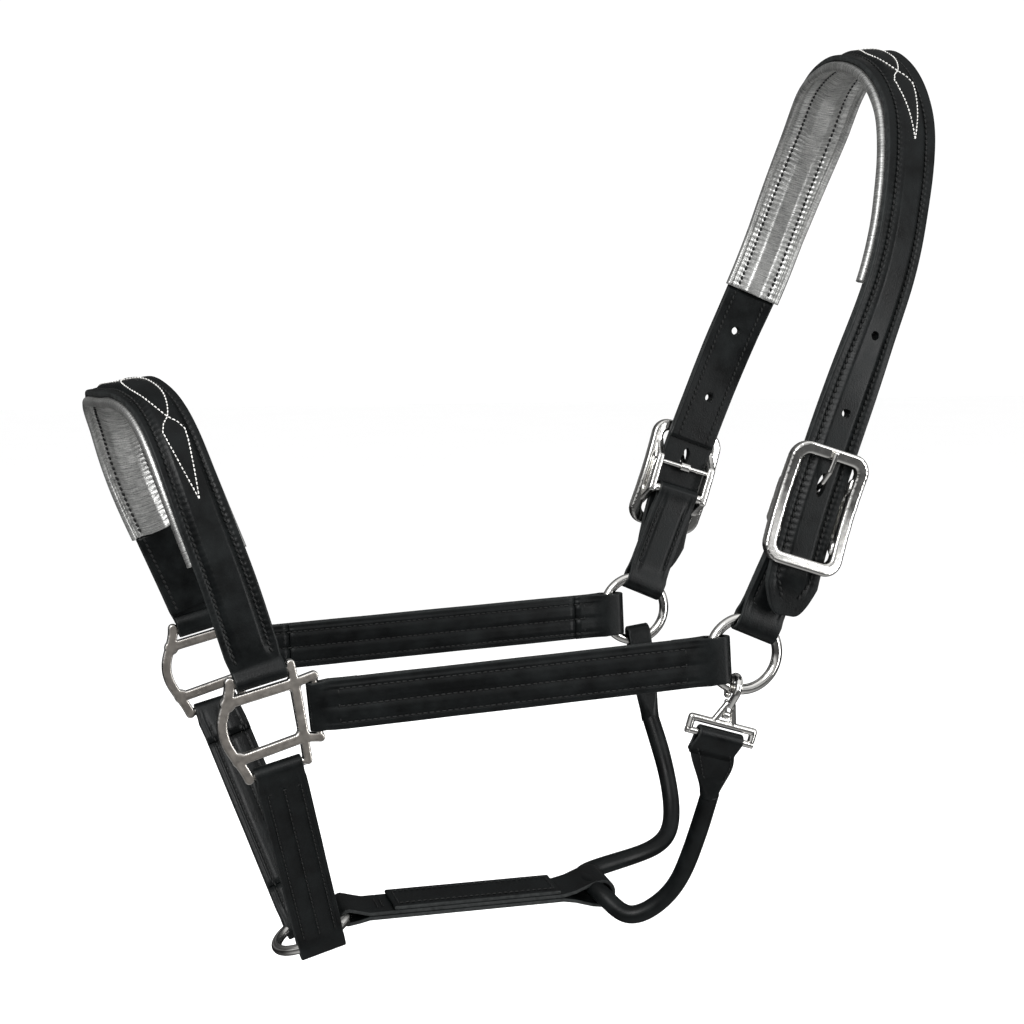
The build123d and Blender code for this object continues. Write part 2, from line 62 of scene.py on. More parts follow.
CHEEK_WIDTH, CROWN_WIDTH = 25.4, 29.5
NOSE_WIDTH, NOSE_PAD_WIDTH = 27.5, 31.0
PLY, DOUBLED, LASH_RADIUS = 2.2, 3.3, 5.0
RING_RADIUS, RING_WIRE, CHIN_RING_RADIUS = 18.9, 2.75, 21.2
FOLD_INNER, FOLD_OUTER, FOLD_WIDTH = 2.0, 4.2, 26.2
RING_INNER = RING_WIRE + 0.1
RING_FOLD = RING_WIRE + 0.3 + PLY

RING_CENTRE = Vector((-97, 84, -311))
SQUARE_CENTRE = Vector((-351.1, 78, -331.7))
SQUARE_TILT = math.radians(15)
NOSE_SKEW = Vector((-3.6, 0, 1.8))
CHIN_RING_CENTRE = Vector((-310, 0, -464))
CHIN_RING_TILT = math.radians(25)
TOP_FOLD_BAR = ((-12, 21.9), (19.3, 21.9))
CHEEK_FOLD_BAR = ((28.7, 14.6), (23.6, -16.2))
CHIN_FOLD_BAR = ((-15.5, -25.2), (14.8, -25.2))
BAR_JOINTS = ((-15.6, 13.6), (18.2, 13.6), (15.8, -13.2), (-17.8, -14.6))

CROWN_LINE = [
    (4, 0, 8.6), (4.5, 22, 4.2), (5.2, 42, -6.8), (5.3, 58, -25), (1.4, 70, -47.5), (-7.2, 81.5, -81),
    (-18.3, 89, -116), (-34.1, 93.5, -153.6), (-50.5, 96, -194), (-64, 97.3, -231),
    (-73, 97, -262), (-79, 96, -290),
]
NOSE_LINE = [
    (-351.7, -77.8, -305.4), (-353.7, -77.5, -299.2), (-363.8, -75.5, -266.2), (-373.8, -70.5, -236.2),
    (-382.3, -62.5, -209.1), (-389.4, -49, -187.6), (-395.6, -34, -176), (-402, -17, -170.8),
    (-405.5, 0, -171), (-408.6, 17, -172.5), (-407.6, 34, -178), (-403.2, 49, -189.2),
    (-396.6, 62.5, -210.1), (-387, 70.5, -236.2), (-374.7, 75.5, -264.8), (-361.2, 77.5, -296.2),
    (-358.9, 77.8, -301.8),
]
# Against the distance from an arch's top: widths, and how far its face turns back, in degrees.
CROWN_WIDTHS = ((0, 100, 200), (34.0, 32.0, 29.5))
CROWN_PAD_WIDTHS = ((0, 70, 140), (40.0, 38.0, 33.8))
CROWN_TURN = ((0, 60, 120, 190, 238), (-11, 13, 19, 17, 0))
NOSE_TURN = ((0, 45, 90, 135), (-24, 8, 10, 0))
LASH_LINE = [
    (-88, 79.5, -376), (-82.5, 62, -414), (-89, 45, -438), (-117, 30, -447), (-149.5, 19, -451.5),
    (-149.5, -18, -455.5), (-140, -26, -463), (-124, -33, -456), (-112.5, -48, -428),
    (-108.5, -68, -388),
]
BUCKLE_Z, FACING_END_Z = -234.0, -213.0
CROWN_PAD_END_Z, NOSE_PAD_END_Z, NOSE_FACING_END_Z = -124.0, -252.0, -297.0
HOLES_Z = (-146.0, -186.0)
CHAPE_X, CHAPE_Z = -9.0, -7.4
ROW = 9.4
PITCH, FINE_PITCH = 3.2, 2.3
STEP = 0.8
SUNK = 0.42
TAIL = 16.0
BACK, PAD_TOP, FACING_BACK = -2.5, -2.62, -4.4
FACING_STITCH = -4.45
GAP = 0.05
CHIN_ROWS, CHAPE_ROW, JOWL_ROW = (8.6, 0, -8.6), 8.2, 8.4
JOWL_PLY, TAB_PLY, TAB_WIDTH = 2.4, 2.5, 25.0
JOWL_TAIL, JOWL_LEAN = Vector((-149.5, 0.5, -453.5)), Vector((0, -0.108, 1))
# Stations of a turned strap give its face's angle: inside, over the bar, and back underneath.
INSIDE, OUTSIDE, UNDER = -0.5 * math.pi, -1.5 * math.pi, -2.5 * math.pi
TURN_STEPS = 14
ARCH_POINTS = 44
CASTING_VOXEL = 0.34
STRAP_STITCH = (2.7, 0.46)

# The camera, in metres, with its lens and sensor in millimetres.
CAMERA_AT = (-0.520, -1.08714, -0.12791)
CAMERA_RIGHT, CAMERA_AHEAD = (0.95881973, -0.28401534, 0), (0.28258633, 0.95399545, -0.10018806)
LENS, SENSOR = 73.83, 36.0
FLOOR_DROP, FLOOR_REACH = 0.16, 9.0


# ---------------------------------------------------------------- lines and frames

def cubic(t, p, u):
    """A natural cubic through the points p at the values t, read at the values u."""
    n, h = len(t), np.diff(t)
    a, b = np.eye(n), np.zeros((n, 3))
    for i in range(1, n - 1):
        a[i, i - 1:i + 2] = h[i - 1], 2 * (h[i - 1] + h[i]), h[i]
        b[i] = 6 * ((p[i + 1] - p[i]) / h[i] - (p[i] - p[i - 1]) / h[i - 1])
    m = np.linalg.solve(a, b)
    k = np.clip(np.searchsorted(t, u) - 1, 0, n - 2)
    left, right, w = (t[k + 1] - u)[:, None], (u - t[k])[:, None], h[k][:, None]
    bend = (m[k] * left ** 3 + m[k + 1] * right ** 3) / (6 * w)
    return bend + (p[k] / w - m[k] * w / 6) * left + (p[k + 1] / w - m[k + 1] * w / 6) * right


def unit(v):
    return v / np.linalg.norm(v, axis=-1, keepdims=True)


def smooth(x):
    """0 to 1 with soft ends."""
    x = np.clip(x, 0, 1)
    return x * x * (3 - 2 * x)


class Line:
    """A line followed by its length."""

    def __init__(self, places, turned=((0, 1), (0, 0))):
        self.places, self.turned = np.array(places, float), turned
        runs = np.linalg.norm(np.diff(self.places, axis=0), axis=1)
        self.marks = np.r_[0, np.cumsum(runs)]
        self.length = self.marks[-1]

    def at(self, s):
        return np.stack([np.interp(s, self.marks, self.places[:, i]) for i in range(3)], -1)

    def tangent(self, s):
        low, high = np.clip(s - 1.5, 0, self.length), np.clip(s + 1.5, 0, self.length)
        return unit(self.at(high) - self.at(low))

    def where(self, z, side):
        """The length at which one leg of an arch passes a height."""
        s = self.length / 2 + side * np.linspace(0, self.length / 2, 2000)
        return s[np.argmin(np.abs(self.at(s)[:, 2] - z))]


def through(points, turned=((0, 1), (0, 0))):
    """A smooth line through points."""
    p = np.array(points, float)
    t = np.r_[0, np.cumsum(np.linalg.norm(np.diff(p, axis=0), axis=1))]
    return Line(cubic(t, p, np.linspace(0, t[-1], 50 * len(p))), turned)


def arch(half):
    return [(x, -y, z) for x, y, z in half][:0:-1] + list(half)


crown_line = through(arch(CROWN_LINE), CROWN_TURN)
nose_line = through(NOSE_LINE, NOSE_TURN)


def arch_frames(line, s):
    """Places, across and outward directions along an arch."""
    tangent = line.tangent(s)
    square = unit(np.array([1.0, 0, 0]) - tangent * tangent[:, :1])
    spread = np.abs(s[:, None] + np.linspace(-18, 18, 7) - line.length / 2)
    angle = np.radians(np.interp(spread, *line.turned).mean(1))[:, None]
    across = square * np.cos(angle) - np.cross(square, tangent) * np.sin(angle)
    return line.at(s), across, np.cross(across, tangent)


class Frame:
    """A flat strap's own frame: x along it, y across it, z outward."""

    def __init__(self, origin, x, z=None, y=None):
        self.o, self.x = Vector(origin), Vector(x).normalized()
        if y is None:
            z = Vector(z)
            self.z = (z - self.x * z.dot(self.x)).normalized()
            self.y = self.z.cross(self.x)
        else:
            self.y = Vector(y).normalized()
            self.x = (self.x - self.y * self.x.dot(self.y)).normalized()
            self.z = self.x.cross(self.y)

    def to_world(self, points):
        basis = np.array([self.x, self.y, self.z], float)
        return np.array(self.o, float) + np.asarray(points, float) @ basis


def on_square(side, x, y):
    centre = Vector((SQUARE_CENTRE.x, SQUARE_CENTRE.y * side, SQUARE_CENTRE.z)) + NOSE_SKEW * side
    c, s = math.cos(SQUARE_TILT), math.sin(SQUARE_TILT)
    return centre + Vector((c, 0, s)) * x + Vector((-s, 0, c)) * y


def bar_middle(side, bar):
    return (on_square(side, *bar[0]) + on_square(side, *bar[1])) / 2


def bar_frame(side, place, across, toward):
    """A frame at a bar: y along the bar, x towards the strap, z out of its face."""
    across = Vector(across).normalized()
    if across.cross(Vector(toward)).y * side > 0:
        across = -across
    return Frame(place, toward, y=across)


def ring_centre(side):
    return Vector((RING_CENTRE.x, RING_CENTRE.y * side, RING_CENTRE.z))


def strap_frame(side, z):
    """A crown leg's frame: x up the strap, z out of its face."""
    s = np.array([crown_line.where(z, side)])
    place, _, outward = arch_frames(crown_line, s)
    return Frame(place[0], -side * crown_line.tangent(s)[0], z=outward[0])


# ---------------------------------------------------------------- meshes

def piece(name, points, faces, body, slot, material, uv=None, wear_and_flat_shade=None):
    """A smooth-shaded piece from points in millimetres."""
    mesh = bpy.data.meshes.new(name)
    mesh.from_pydata((np.asarray(points) * MM).tolist(), [], faces)
    if uv is not None:
        layer = mesh.uv_layers.new(name="lay")
        index = np.zeros(len(mesh.loops), int)
        mesh.loops.foreach_get("vertex_index", index)
        layer.data.foreach_set("uv", (np.asarray(uv) * MM)[index].astype(np.float32).ravel())
    if wear_and_flat_shade is not None:
        mesh.attributes.new("wear_and_flat_shade", "FLOAT", "POINT").data.foreach_set("value", np.asarray(wear_and_flat_shade, np.float32))
    work = bmesh.new()
    work.from_mesh(mesh)
    bmesh.ops.recalc_face_normals(work, faces=work.faces)
    work.to_mesh(mesh)
    work.free()
    mesh.polygons.foreach_set("use_smooth", [True] * len(mesh.polygons))
    mesh.materials.append(material)
    made = bpy.data.objects.new(name, mesh)
    bpy.context.scene.collection.objects.link(made)
    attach(made, body)
    return made


def skin(rings, closed=False):
    """Points and faces of a tube through rings of points."""
    rings = np.asarray(rings)
    n, m = rings.shape[:2]
    turn = list(range(1, m)) + [0]
    faces = [(i * m + j, i * m + k, (i + 1) % n * m + k, (i + 1) % n * m + j)
             for i in range(n if closed else n - 1) for j, k in enumerate(turn)]
    if not closed:
        faces += [tuple(range(m - 1, -1, -1)), tuple((n - 1) * m + j for j in range(m))]
    return rings.reshape(-1, 3), faces


def section(width, low, top, corner, inner=22):
    """One ring round a strap: across and outward values; low and top give its faces' heights."""
    half = width / 2
    bend = np.linspace(0, math.pi / 2, 5)
    rise, drop = corner * (1 - np.cos(bend)), corner * (1 - np.sin(bend))
    flat = np.linspace(-half + corner, half - corner, inner)[1:-1]
    a = np.r_[-half + rise, flat, (half - rise)[::-1]]
    d = np.r_[drop, np.zeros(len(flat)), drop[::-1]]
    return np.r_[a, a[::-1]], np.r_[top(a) - d, low(a[::-1]) + d[::-1]]


def edge_wear(a, width, corner):
    """1 on a strap's rubbed edges, 0 on its faces."""
    return np.clip((np.abs(a) - width / 2 + corner) / corner, 0, 1) ** 2


def level(height):
    """A flat face, for a section or an arch."""
    return lambda a, s=None: np.full_like(a, height)


def wander(s, size=0.15):
    """A slow unevenness along a hand-cut strap."""
    return size * (np.sin(s / 9.7) + np.sin(s / 23.0 + 1.3) + np.sin(s / 5.1 + 4.0) * 0.4)


def arch_rings(line, s, width, low, top, corner):
    """Rings, lay and wear of a strap along an arch; width(s), low(a, s) and top(a, s) shape it."""
    places, across, outward = arch_frames(line, s)
    rings, uv, wear_and_flat_shade = [], [], []
    for i, here in enumerate(s):
        w = width(here)
        a, n = section(w, lambda q: low(q, here), lambda q: top(q, here), corner, ARCH_POINTS)
        rings.append(places[i] + np.outer(a, across[i]) + np.outer(n, outward[i]))
        uv.append(np.stack([a, np.full_like(a, here)], 1))
        wear_and_flat_shade.append(edge_wear(a, w, corner))
    return rings, uv, wear_and_flat_shade


def arch_piece(name, line, s, width, low, top, corner, body, slot, material):
    """A strap along an arch, as a piece."""
    rings, uv, wear_and_flat_shade = arch_rings(line, s, width, low, top, corner)
    points, faces = skin(rings)
    return piece(name, points, faces, body, slot, material, np.concatenate(uv), np.concatenate(wear_and_flat_shade))


def leather(name, parts, body="head_frame"):
    """A leather piece from its points, faces, lay and wear."""
    return piece(name, *parts[:2], body, "black_leather", LEATHER, *parts[2:])


def quilted(rows, lift=0.55):
    """The face of a strap sewn in rows: a raised panel with a furrow along each row."""
    middle, half = (rows[0] + rows[-1]) / 2, abs(rows[0] - rows[-1]) / 2 + 1.9

    def relief(a):
        off = np.min([np.abs(a - row) for row in rows], axis=0)
        panel = smooth((half - np.abs(a - middle)) / 0.7)
        return panel * (lift + 0.5 * smooth(off / 2.8) - 0.3 * np.exp(-(off / 0.7) ** 2))
    return relief


def belt(frame_, stations, width, corner=0.7, closed=False, relief=None, flat=DOUBLED):
    """Rings of a flat strap bent in its own x-z plane: stations of x, z, angle, low and top."""
    fine = [stations[0]]
    for one, two in zip(stations[:-1], stations[1:]):
        gap = math.hypot(two[0] - one[0], two[1] - one[1])
        count = max(1, int(gap / (4 * STEP)))
        for k in range(1, count + 1):
            fine.append(tuple(p + (q - p) * k / count for p, q in zip(one, two)))
    if closed:
        fine = fine[:-1]
    rings, uv, wear_and_flat_shade, run = [], [], [], 0.0
    for i, (x, z, angle, low, top) in enumerate(fine):
        if i:
            run += math.hypot(x - fine[i - 1][0], z - fine[i - 1][1])
            run += abs(angle - fine[i - 1][2]) * (low + top) / 2
        wide = width(x) if callable(width) else width
        share = max(0.0, 1 - abs(top - flat) / 0.3) if relief else 0.0
        face = (lambda q: top + share * relief(q)) if share else level(top)
        a, n = section(wide + wander(run, 0.06), level(low), face, min(corner, (top - low) / 2.2),
                       46 if relief else 22)
        direction = np.array([math.cos(angle), 0, math.sin(angle)])
        local = np.array([x, 0, z]) + np.outer(a, [0, 1, 0]) + np.outer(n, direction)
        rings.append(frame_.to_world(local))
        uv.append(np.stack([a, np.full_like(a, run)], 1))
        wear_and_flat_shade.append(edge_wear(a, wide, corner))
    points, faces = skin(rings, closed)
    return points, faces, np.concatenate(uv), np.concatenate(wear_and_flat_shade)


def turn(x, z, start, end, low, top):
    """Stations round a bar."""
    return [(x, z, start + (end - start) * k / TURN_STEPS, low, top) for k in range(TURN_STEPS + 1)]


def join(parts):
    """Several meshes as one list of points, faces, lays and wear."""
    points, faces, uv, wear_and_flat_shade, base = [], [], [], [], 0
    for p, f, u, w in parts:
        points.append(p)
        faces += [tuple(i + base for i in face) for face in f]
        uv.append(u)
        wear_and_flat_shade.append(w)
        base += len(p)
    return np.concatenate(points), faces, np.concatenate(uv), np.concatenate(wear_and_flat_shade)


def bored(made, cutters):
    """Cuts holes through a piece, with rods given as (frame, radius, half length, slot length)."""
    work = bmesh.new()
    for at, radius, half, stretch in cutters:
        turned = Matrix((at.x, at.y, at.z)).transposed().to_4x4()
        matrix = Matrix.Translation(at.o * MM) @ turned @ Matrix.Diagonal((stretch, 1, 1, 1))
        bmesh.ops.create_cone(work, cap_ends=True, segments=20, radius1=radius * MM,
                              radius2=radius * MM, depth=2 * half * MM, matrix=matrix)
    mesh = bpy.data.meshes.new("cutter")
    work.to_mesh(mesh)
    work.free()
    cutter = bpy.data.objects.new("cutter", mesh)
    bpy.context.scene.collection.objects.link(cutter)
    modifier = made.modifiers.new("holes", "BOOLEAN")
    modifier.operation, modifier.solver, modifier.object = "DIFFERENCE", "EXACT", cutter
    settle(made)
    bpy.data.objects.remove(cutter)
    return made


def settle(made):
    """Applies a piece's modifiers."""
    bpy.context.view_layer.update()
    result = bpy.data.meshes.new_from_object(made.evaluated_get(bpy.context.evaluated_depsgraph_get()))
    made.modifiers.clear()
    made.data = result
    return made


# ---------------------------------------------------------------- stitches

def stitch_shape(length, radius):
    """One stitch: a short thread that dives at both ends."""
    shares = (-1, -0.86, -0.5, 0, 0.5, 0.86, 1)
    girths = (0.25, 0.75, 1, 1.05, 1, 0.75, 0.25)
    points = []
    for share, girth in zip(shares, girths):
        lift = radius * (0.35 - 1.25 * share ** 4)
        for k in range(6):
            angle = k * math.pi / 3
            points.append((share * length / 2, radius * girth * math.cos(angle),
                           lift + radius * girth * math.sin(angle)))
    faces = [(i * 6 + k, i * 6 + (k + 1) % 6, (i + 1) * 6 + (k + 1) % 6, (i + 1) * 6 + k)
             for i in range(len(shares) - 1) for k in range(6)]
    last = (len(shares) - 1) * 6
    return np.array(points), faces + [(5, 4, 3, 2, 1, 0), tuple(last + k for k in range(6))]


def stitching(name, marks, length, radius, body, slant=0.0, white=False):
    """Stitches at marks of (place, along, outward), each turned a little from its row."""
    slot, material = ("silver_lining", WHITE_THREAD) if white else ("black_leather", BLACK_THREAD)
    shape, one = stitch_shape(length, radius)
    points, faces = [], []
    for place, along, outward in marks:
        along, outward = np.array(along, float), np.array(outward, float)
        side = np.cross(outward, along)
        swing = slant + random.gauss(0, 0.05)
        forward = unit(along + side * swing)
        basis = np.stack([forward, np.cross(outward, forward), outward])
        base = len(points) * len(shape)
        points.append(np.array(place, float) + shape * (1 + random.gauss(0, 0.03)) @ basis)
        faces += [tuple(i + base for i in face) for face in one]
    return piece(name, np.concatenate(points), faces, body, slot, material)


def spaced(path, pitch):
    """Middles and directions of stitches along a row of points."""
    row = Line(path)
    count = max(1, int(round(row.length / pitch)))
    s = (np.arange(count) + 0.5) * row.length / count
    return row.at(s), row.tangent(s)


def flat_row(frame_, path, height, pitch=PITCH):
    """Marks along a row on a flat strap's face; a negative height is its inner face."""
    local, along = spaced([(x, y, height) for x, y in path], pitch)
    outward = np.array(frame_.z if height > 0 else -frame_.z, float)
    basis = np.array([frame_.x, frame_.y, frame_.z], float)
    return [(p, t, outward) for p, t in zip(frame_.to_world(local), along @ basis)]


def arch_row(line, path, height, pitch=PITCH):
    """Marks along a row on an arch's face, from points of length and across; height(a, s)."""
    row = Line([(s, a, 0) for s, a in path])
    count = max(1, int(round(row.length / pitch)))
    marks = row.at((np.arange(count) + 0.5) * row.length / count)
    s, a = marks[:, 0], marks[:, 1]
    places, across, outward = arch_frames(line, s)
    tangents = line.tangent(s)
    n = np.array([height(np.array([q]), r)[0] for q, r in zip(a, s)])
    ahead = row.tangent((np.arange(count) + 0.5) * row.length / count)
    sign = 1 if n.mean() > 0 else -1
    points = places + across * a[:, None] + outward * n[:, None]
    along = unit(tangents * ahead[:, :1] + across * ahead[:, 1:2])
    return [(p, t, o * sign) for p, t, o in zip(points, along, outward)]


# ---------------------------------------------------------------- materials

class Look:
    """A procedural material round one Principled shader."""

    def __init__(self, name, **sockets):
        self.material = bpy.data.materials.new(name)
        self.material.use_nodes = True
        self.tree = self.material.node_tree
        self.shader = self.tree.nodes["Principled BSDF"]
        for key, value in sockets.items():
            self.shader.inputs[key.replace("_", " ")].default_value = value

    def node(self, kind, out, inputs=None, **settings):
        """Adds a node, sets or links its inputs, and gives one output."""
        made = self.tree.nodes.new("ShaderNode" + kind)
        for key, value in settings.items():
            setattr(made, key, value)
        for key, value in (inputs or {}).items():
            if isinstance(value, bpy.types.NodeSocket):
                self.tree.links.new(value, made.inputs[key])
            else:
                made.inputs[key].default_value = value
        return made.outputs[out]

    def noise(self, place, scale, detail=3.0, roughness=0.55):
        return self.node("TexNoise", "Fac", {
            "Vector": place, "Scale": scale, "Detail": detail, "Roughness": roughness})

    def ramp(self, value, low, high, start, end):
        """value from low to high, read as start to end."""
        return self.node("MapRange", "Result", {
            "Value": value, "From Min": low, "From Max": high, "To Min": start, "To Max": end})

    def mix(self, share, one, two):
        return self.node("Mix", 2, {0: share, 6: one, 7: two}, data_type="RGBA")

    def bump(self, height, strength, distance, normal=None):
        inputs = {"Height": height, "Strength": strength, "Distance": distance}
        if normal is not None:
            inputs["Normal"] = normal
        return self.node("Bump", "Normal", inputs)

    def to(self, key, output):
        self.tree.links.new(output, self.shader.inputs[key])


def leather_look():
    """Black bridle leather: fine pores, soft shine, grey rubbed edges."""
    look = Look("black_leather", Specular_IOR_Level=0.17)
    place = look.node("TexCoord", "Object")
    pores = look.node("TexVoronoi", "Distance", {"Vector": place, "Scale": 1350.0, "Randomness": 1.0})
    fine = look.noise(place, 2600.0, 4.0)
    broad = look.noise(place, 70.0, 5.0, 0.6)
    wear_and_flat_shade = look.node("Attribute", "Fac", attribute_name="wear_and_flat_shade")
    tone = look.mix(look.ramp(broad, 0.35, 0.68, 0.0, 1.0), (0.0012, 0.0015, 0.0016, 1),
                    (0.0038, 0.0050, 0.0052, 1))
    worn_and_shaded = look.node("Math", 0, {0: wear_and_flat_shade, 1: look.ramp(look.noise(place, 420.0, 4.0), 0.3, 0.7, 0.35, 1.0)},
                     operation="MULTIPLY")
    look.to("Base Color", look.mix(worn_and_shaded, tone, (0.024, 0.026, 0.026, 1)))
    shine = look.node("Math", 0, {0: look.ramp(broad, 0.3, 0.7, 0.30, 0.46),
                                  1: look.ramp(wear_and_flat_shade, 0.0, 1.0, 0.0, 0.14)}, operation="ADD")
    look.to("Roughness", shine)
    grain = look.bump(pores, 0.28, 0.00016)
    look.to("Normal", look.bump(fine, 0.18, 0.00010, look.bump(broad, 0.25, 0.0006, grain)))
    return look.material


def lining_look():
    """Silver lining hide: bright metal-finished streaks across the strap."""
    look = Look("silver_lining", Metallic=0.9, Specular_IOR_Level=0.5)
    lay = look.node("UVMap", "UV", uv_map="lay")
    drawn = look.node("Mapping", "Vector", {"Vector": lay, "Scale": (130.0, 1500.0, 1.0)})
    streaks = look.noise(drawn, 1.0, 5.0, 0.62)
    place = look.node("TexCoord", "Object")
    speck = look.noise(place, 1500.0, 3.0, 0.7)
    patches = look.noise(place, 90.0, 3.0)
    tone = look.node("Math", 0, {0: look.ramp(streaks, 0.32, 0.66, 0.0, 0.72),
                                 1: look.ramp(speck, 0.3, 0.7, -0.05, 0.33)}, operation="ADD")
    tone = look.node("Math", 0, {0: tone, 1: look.ramp(patches, 0.3, 0.7, 0.75, 1.15)}, operation="MULTIPLY")
    look.to("Base Color", look.mix(tone, (0.075, 0.078, 0.078, 1), (0.82, 0.82, 0.80, 1)))
    look.to("Roughness", look.ramp(streaks, 0.3, 0.7, 0.46, 0.27))
    look.to("Normal", look.bump(speck, 0.25, 0.00012, look.bump(streaks, 0.5, 0.0003)))
    return look.material


def steel_look(name, colour, rough, cast, worn_and_shaded=None):
    """Stainless steel, polished with faint rubbing marks; the last argument gives its flats a rougher satin
    polish and a darker colour, which is painted shade.
    """
    look = Look(name, Metallic=1.0)
    place = look.node("TexCoord", "Object")
    rubbed = look.noise(place, 260.0, 6.0, 0.62)
    broad = look.noise(place, 60.0, 3.0)
    dark = tuple(c * 0.86 for c in colour[:3]) + (1,)
    tone = look.mix(look.ramp(broad, 0.35, 0.65, 0.0, 1.0), dark, colour)
    finish = look.ramp(rubbed, 0.35, 0.7, rough * 0.75, rough * 1.5)
    if worn_and_shaded:
        # Flats: the darker colour is painted shade, standing in for the dark reflections of the flat faces;
        # the rougher polish is their satin finish.
        flat = look.node("Attribute", "Fac", attribute_name="wear_and_flat_shade")
        tone = look.mix(flat, tone, worn_and_shaded[0])
        dulling = look.ramp(flat, 0.0, 1.0, 0.0, worn_and_shaded[1])
        finish = look.node("Math", 0, {0: finish, 1: dulling}, operation="ADD")
    look.to("Base Color", tone)
    look.to("Roughness", finish)
    pits = look.noise(place, 1900.0, 3.0)
    look.to("Normal", look.bump(pits, cast, 0.00008, look.bump(broad, 0.12, 0.0004)))
    return look.material


def thread_look(name, colour, rough):
    """Waxed thread with its twist."""
    look = Look(name, Specular_IOR_Level=0.3)
    place = look.node("TexCoord", "Object")
    twist = look.node("TexWave", "Fac", {"Vector": place, "Scale": 900.0, "Distortion": 3.0, "Detail": 2.0},
                      bands_direction="DIAGONAL")
    spread = look.noise(place, 350.0)
    dark = tuple(c * 0.6 for c in colour[:3]) + (1,)
    look.to("Base Color", look.mix(look.ramp(spread, 0.3, 0.7, 0.0, 1.0), dark, colour))
    look.to("Roughness", look.ramp(twist, 0.0, 1.0, rough, rough + 0.15))
    look.to("Normal", look.bump(twist, 0.5, 0.00015))
    return look.material


LEATHER = leather_look()
SILVER = lining_look()
STEEL = steel_look("polished_steel", (0.80, 0.79, 0.765, 1), 0.13, 0.05)
# The squares' flats are painted a darker brownish grey, which is painted shade, and made duller, which is
# their satin finish.
SATIN_SHADED_FLATS = steel_look("satin_steel", (0.80, 0.785, 0.76, 1), 0.17, 0.12, ((0.42, 0.39, 0.355, 1), 0.20))
BLACK_THREAD = thread_look("black_thread", (0.007, 0.0075, 0.0075, 1), 0.45)
WHITE_THREAD = thread_look("white_thread", (0.86, 0.85, 0.82, 1), 0.6)


# ---------------------------------------------------------------- crown and noseband

def dimples(a, s, reach):
    """Leather drawn down beside a row of stitches."""
    off = np.abs(np.abs(a) - ROW)
    pucker = math.cos(2 * math.pi * s / PITCH) * np.exp(-((off - 0.9) / reach) ** 2)
    return 0.17 * pucker - 0.75 * np.exp(-(off / 0.95) ** 2)


def raised(length, rest):
    """A strap's face: flat edges, sunk rows and a raised middle that dies away near its ends."""
    def top(a, s):
        share = float(smooth((min(s, length - s) - rest) / 12))
        middle = 1.7 * smooth((ROW - 0.3 - np.abs(a)) / 3.6)
        return 0.95 + wander(s, 0.07) + share * (dimples(a, s, 1.7) + middle)
    return top


def pad(width, bulge):
    """The lining's underside: a rolled edge, a piped groove, a sunk row and a full middle."""
    def low(a, s):
        off, groove = np.abs(a), width(s) / 2 - 3.4
        height = -6.6 - bulge * smooth((ROW - 0.4 - off) / 5.5) - 1.3 * smooth((off - groove) / 1.1)
        height += 1.5 * np.exp(-((off - groove + 0.4) / 0.6) ** 2)
        return height - 1.15 * dimples(a, s, 2.6) + wander(s, 0.12)
    return low


def crown_pad_width(s):
    return np.interp(abs(s - crown_line.length / 2), *CROWN_PAD_WIDTHS)


CROWN_TOP = raised(crown_line.length, 12.0)
CROWN_LOW, NOSE_LOW = pad(crown_pad_width, 2.6), pad(lambda s: NOSE_PAD_WIDTH, 2.2)
NOSE_TOP = raised(nose_line.length, 0.0)


def crown_width(s):
    left = min(s, crown_line.length - s)
    width = np.interp(abs(s - crown_line.length / 2), *CROWN_WIDTHS)
    return width * (0.3 + 0.7 * math.sqrt(left / TAIL)) if left < TAIL else width


def steps_between(start, end, step=STEP):
    return np.linspace(start, end, int(abs(end - start) / step) + 1)


def hole_rods(side):
    rods = []
    for z in HOLES_Z:
        rods.append((strap_frame(side, z), 2.3, 12, 1.0))
    slot = strap_frame(side, BUCKLE_Z)
    slot.o = Vector(slot.to_world((12, 0, 0)))
    rods.append((slot, 2.4, 6, 2.6))
    return rods


def pad_span(line, end_z):
    return [line.where(end_z, side) for side in (NEAR, OFF)]


def padding(name, line, end_z, width, low, body):
    """The silver lining, filled under an arch's top."""
    lining = arch_piece(f"{name}_padding", line, steps_between(*pad_span(line, end_z)), width,
                        low, level(PAD_TOP), 2.0, body, "silver_lining", SILVER)
    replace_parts(lining, f"{name}_lining")


def inner_facing(name, side, line, ends_z, width, body):
    """The thin inner leather of one leg of an arch, below its padding."""
    span = sorted(line.where(z, side) for z in ends_z)
    return arch_piece(f"{name}_inner_facing", line, steps_between(*span, 2.0), lambda q: width,
                      level(FACING_BACK), level(PAD_TOP), 0.6, body, "black_leather", LEATHER)


def crown():
    length = crown_line.length
    ends = np.array([0.02, 0.5, 1.2, 2.2, 3.6, 5.4, 7.6, 10.2, 13.0])
    s = np.r_[ends, steps_between(TAIL, length - TAIL), (length - ends)[::-1]]
    strap = arch_piece("crown_leather", crown_line, s, crown_width, level(BACK),
                       CROWN_TOP, 1.0, "headpiece", "black_leather", LEATHER)
    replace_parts(bored(strap, hole_rods(NEAR) + hole_rods(OFF)), "crown_strap")
    padding("crown", crown_line, CROWN_PAD_END_Z, crown_pad_width, CROWN_LOW, "headpiece")
    for name, side in SIDES.items():
        facing = inner_facing(f"{name}_crown", side, crown_line, (CROWN_PAD_END_Z - 0.6, FACING_END_Z),
                              CROWN_WIDTH - 0.8, "headpiece")
        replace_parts(bored(facing, hole_rods(side)), f"{name}_crown_facing")


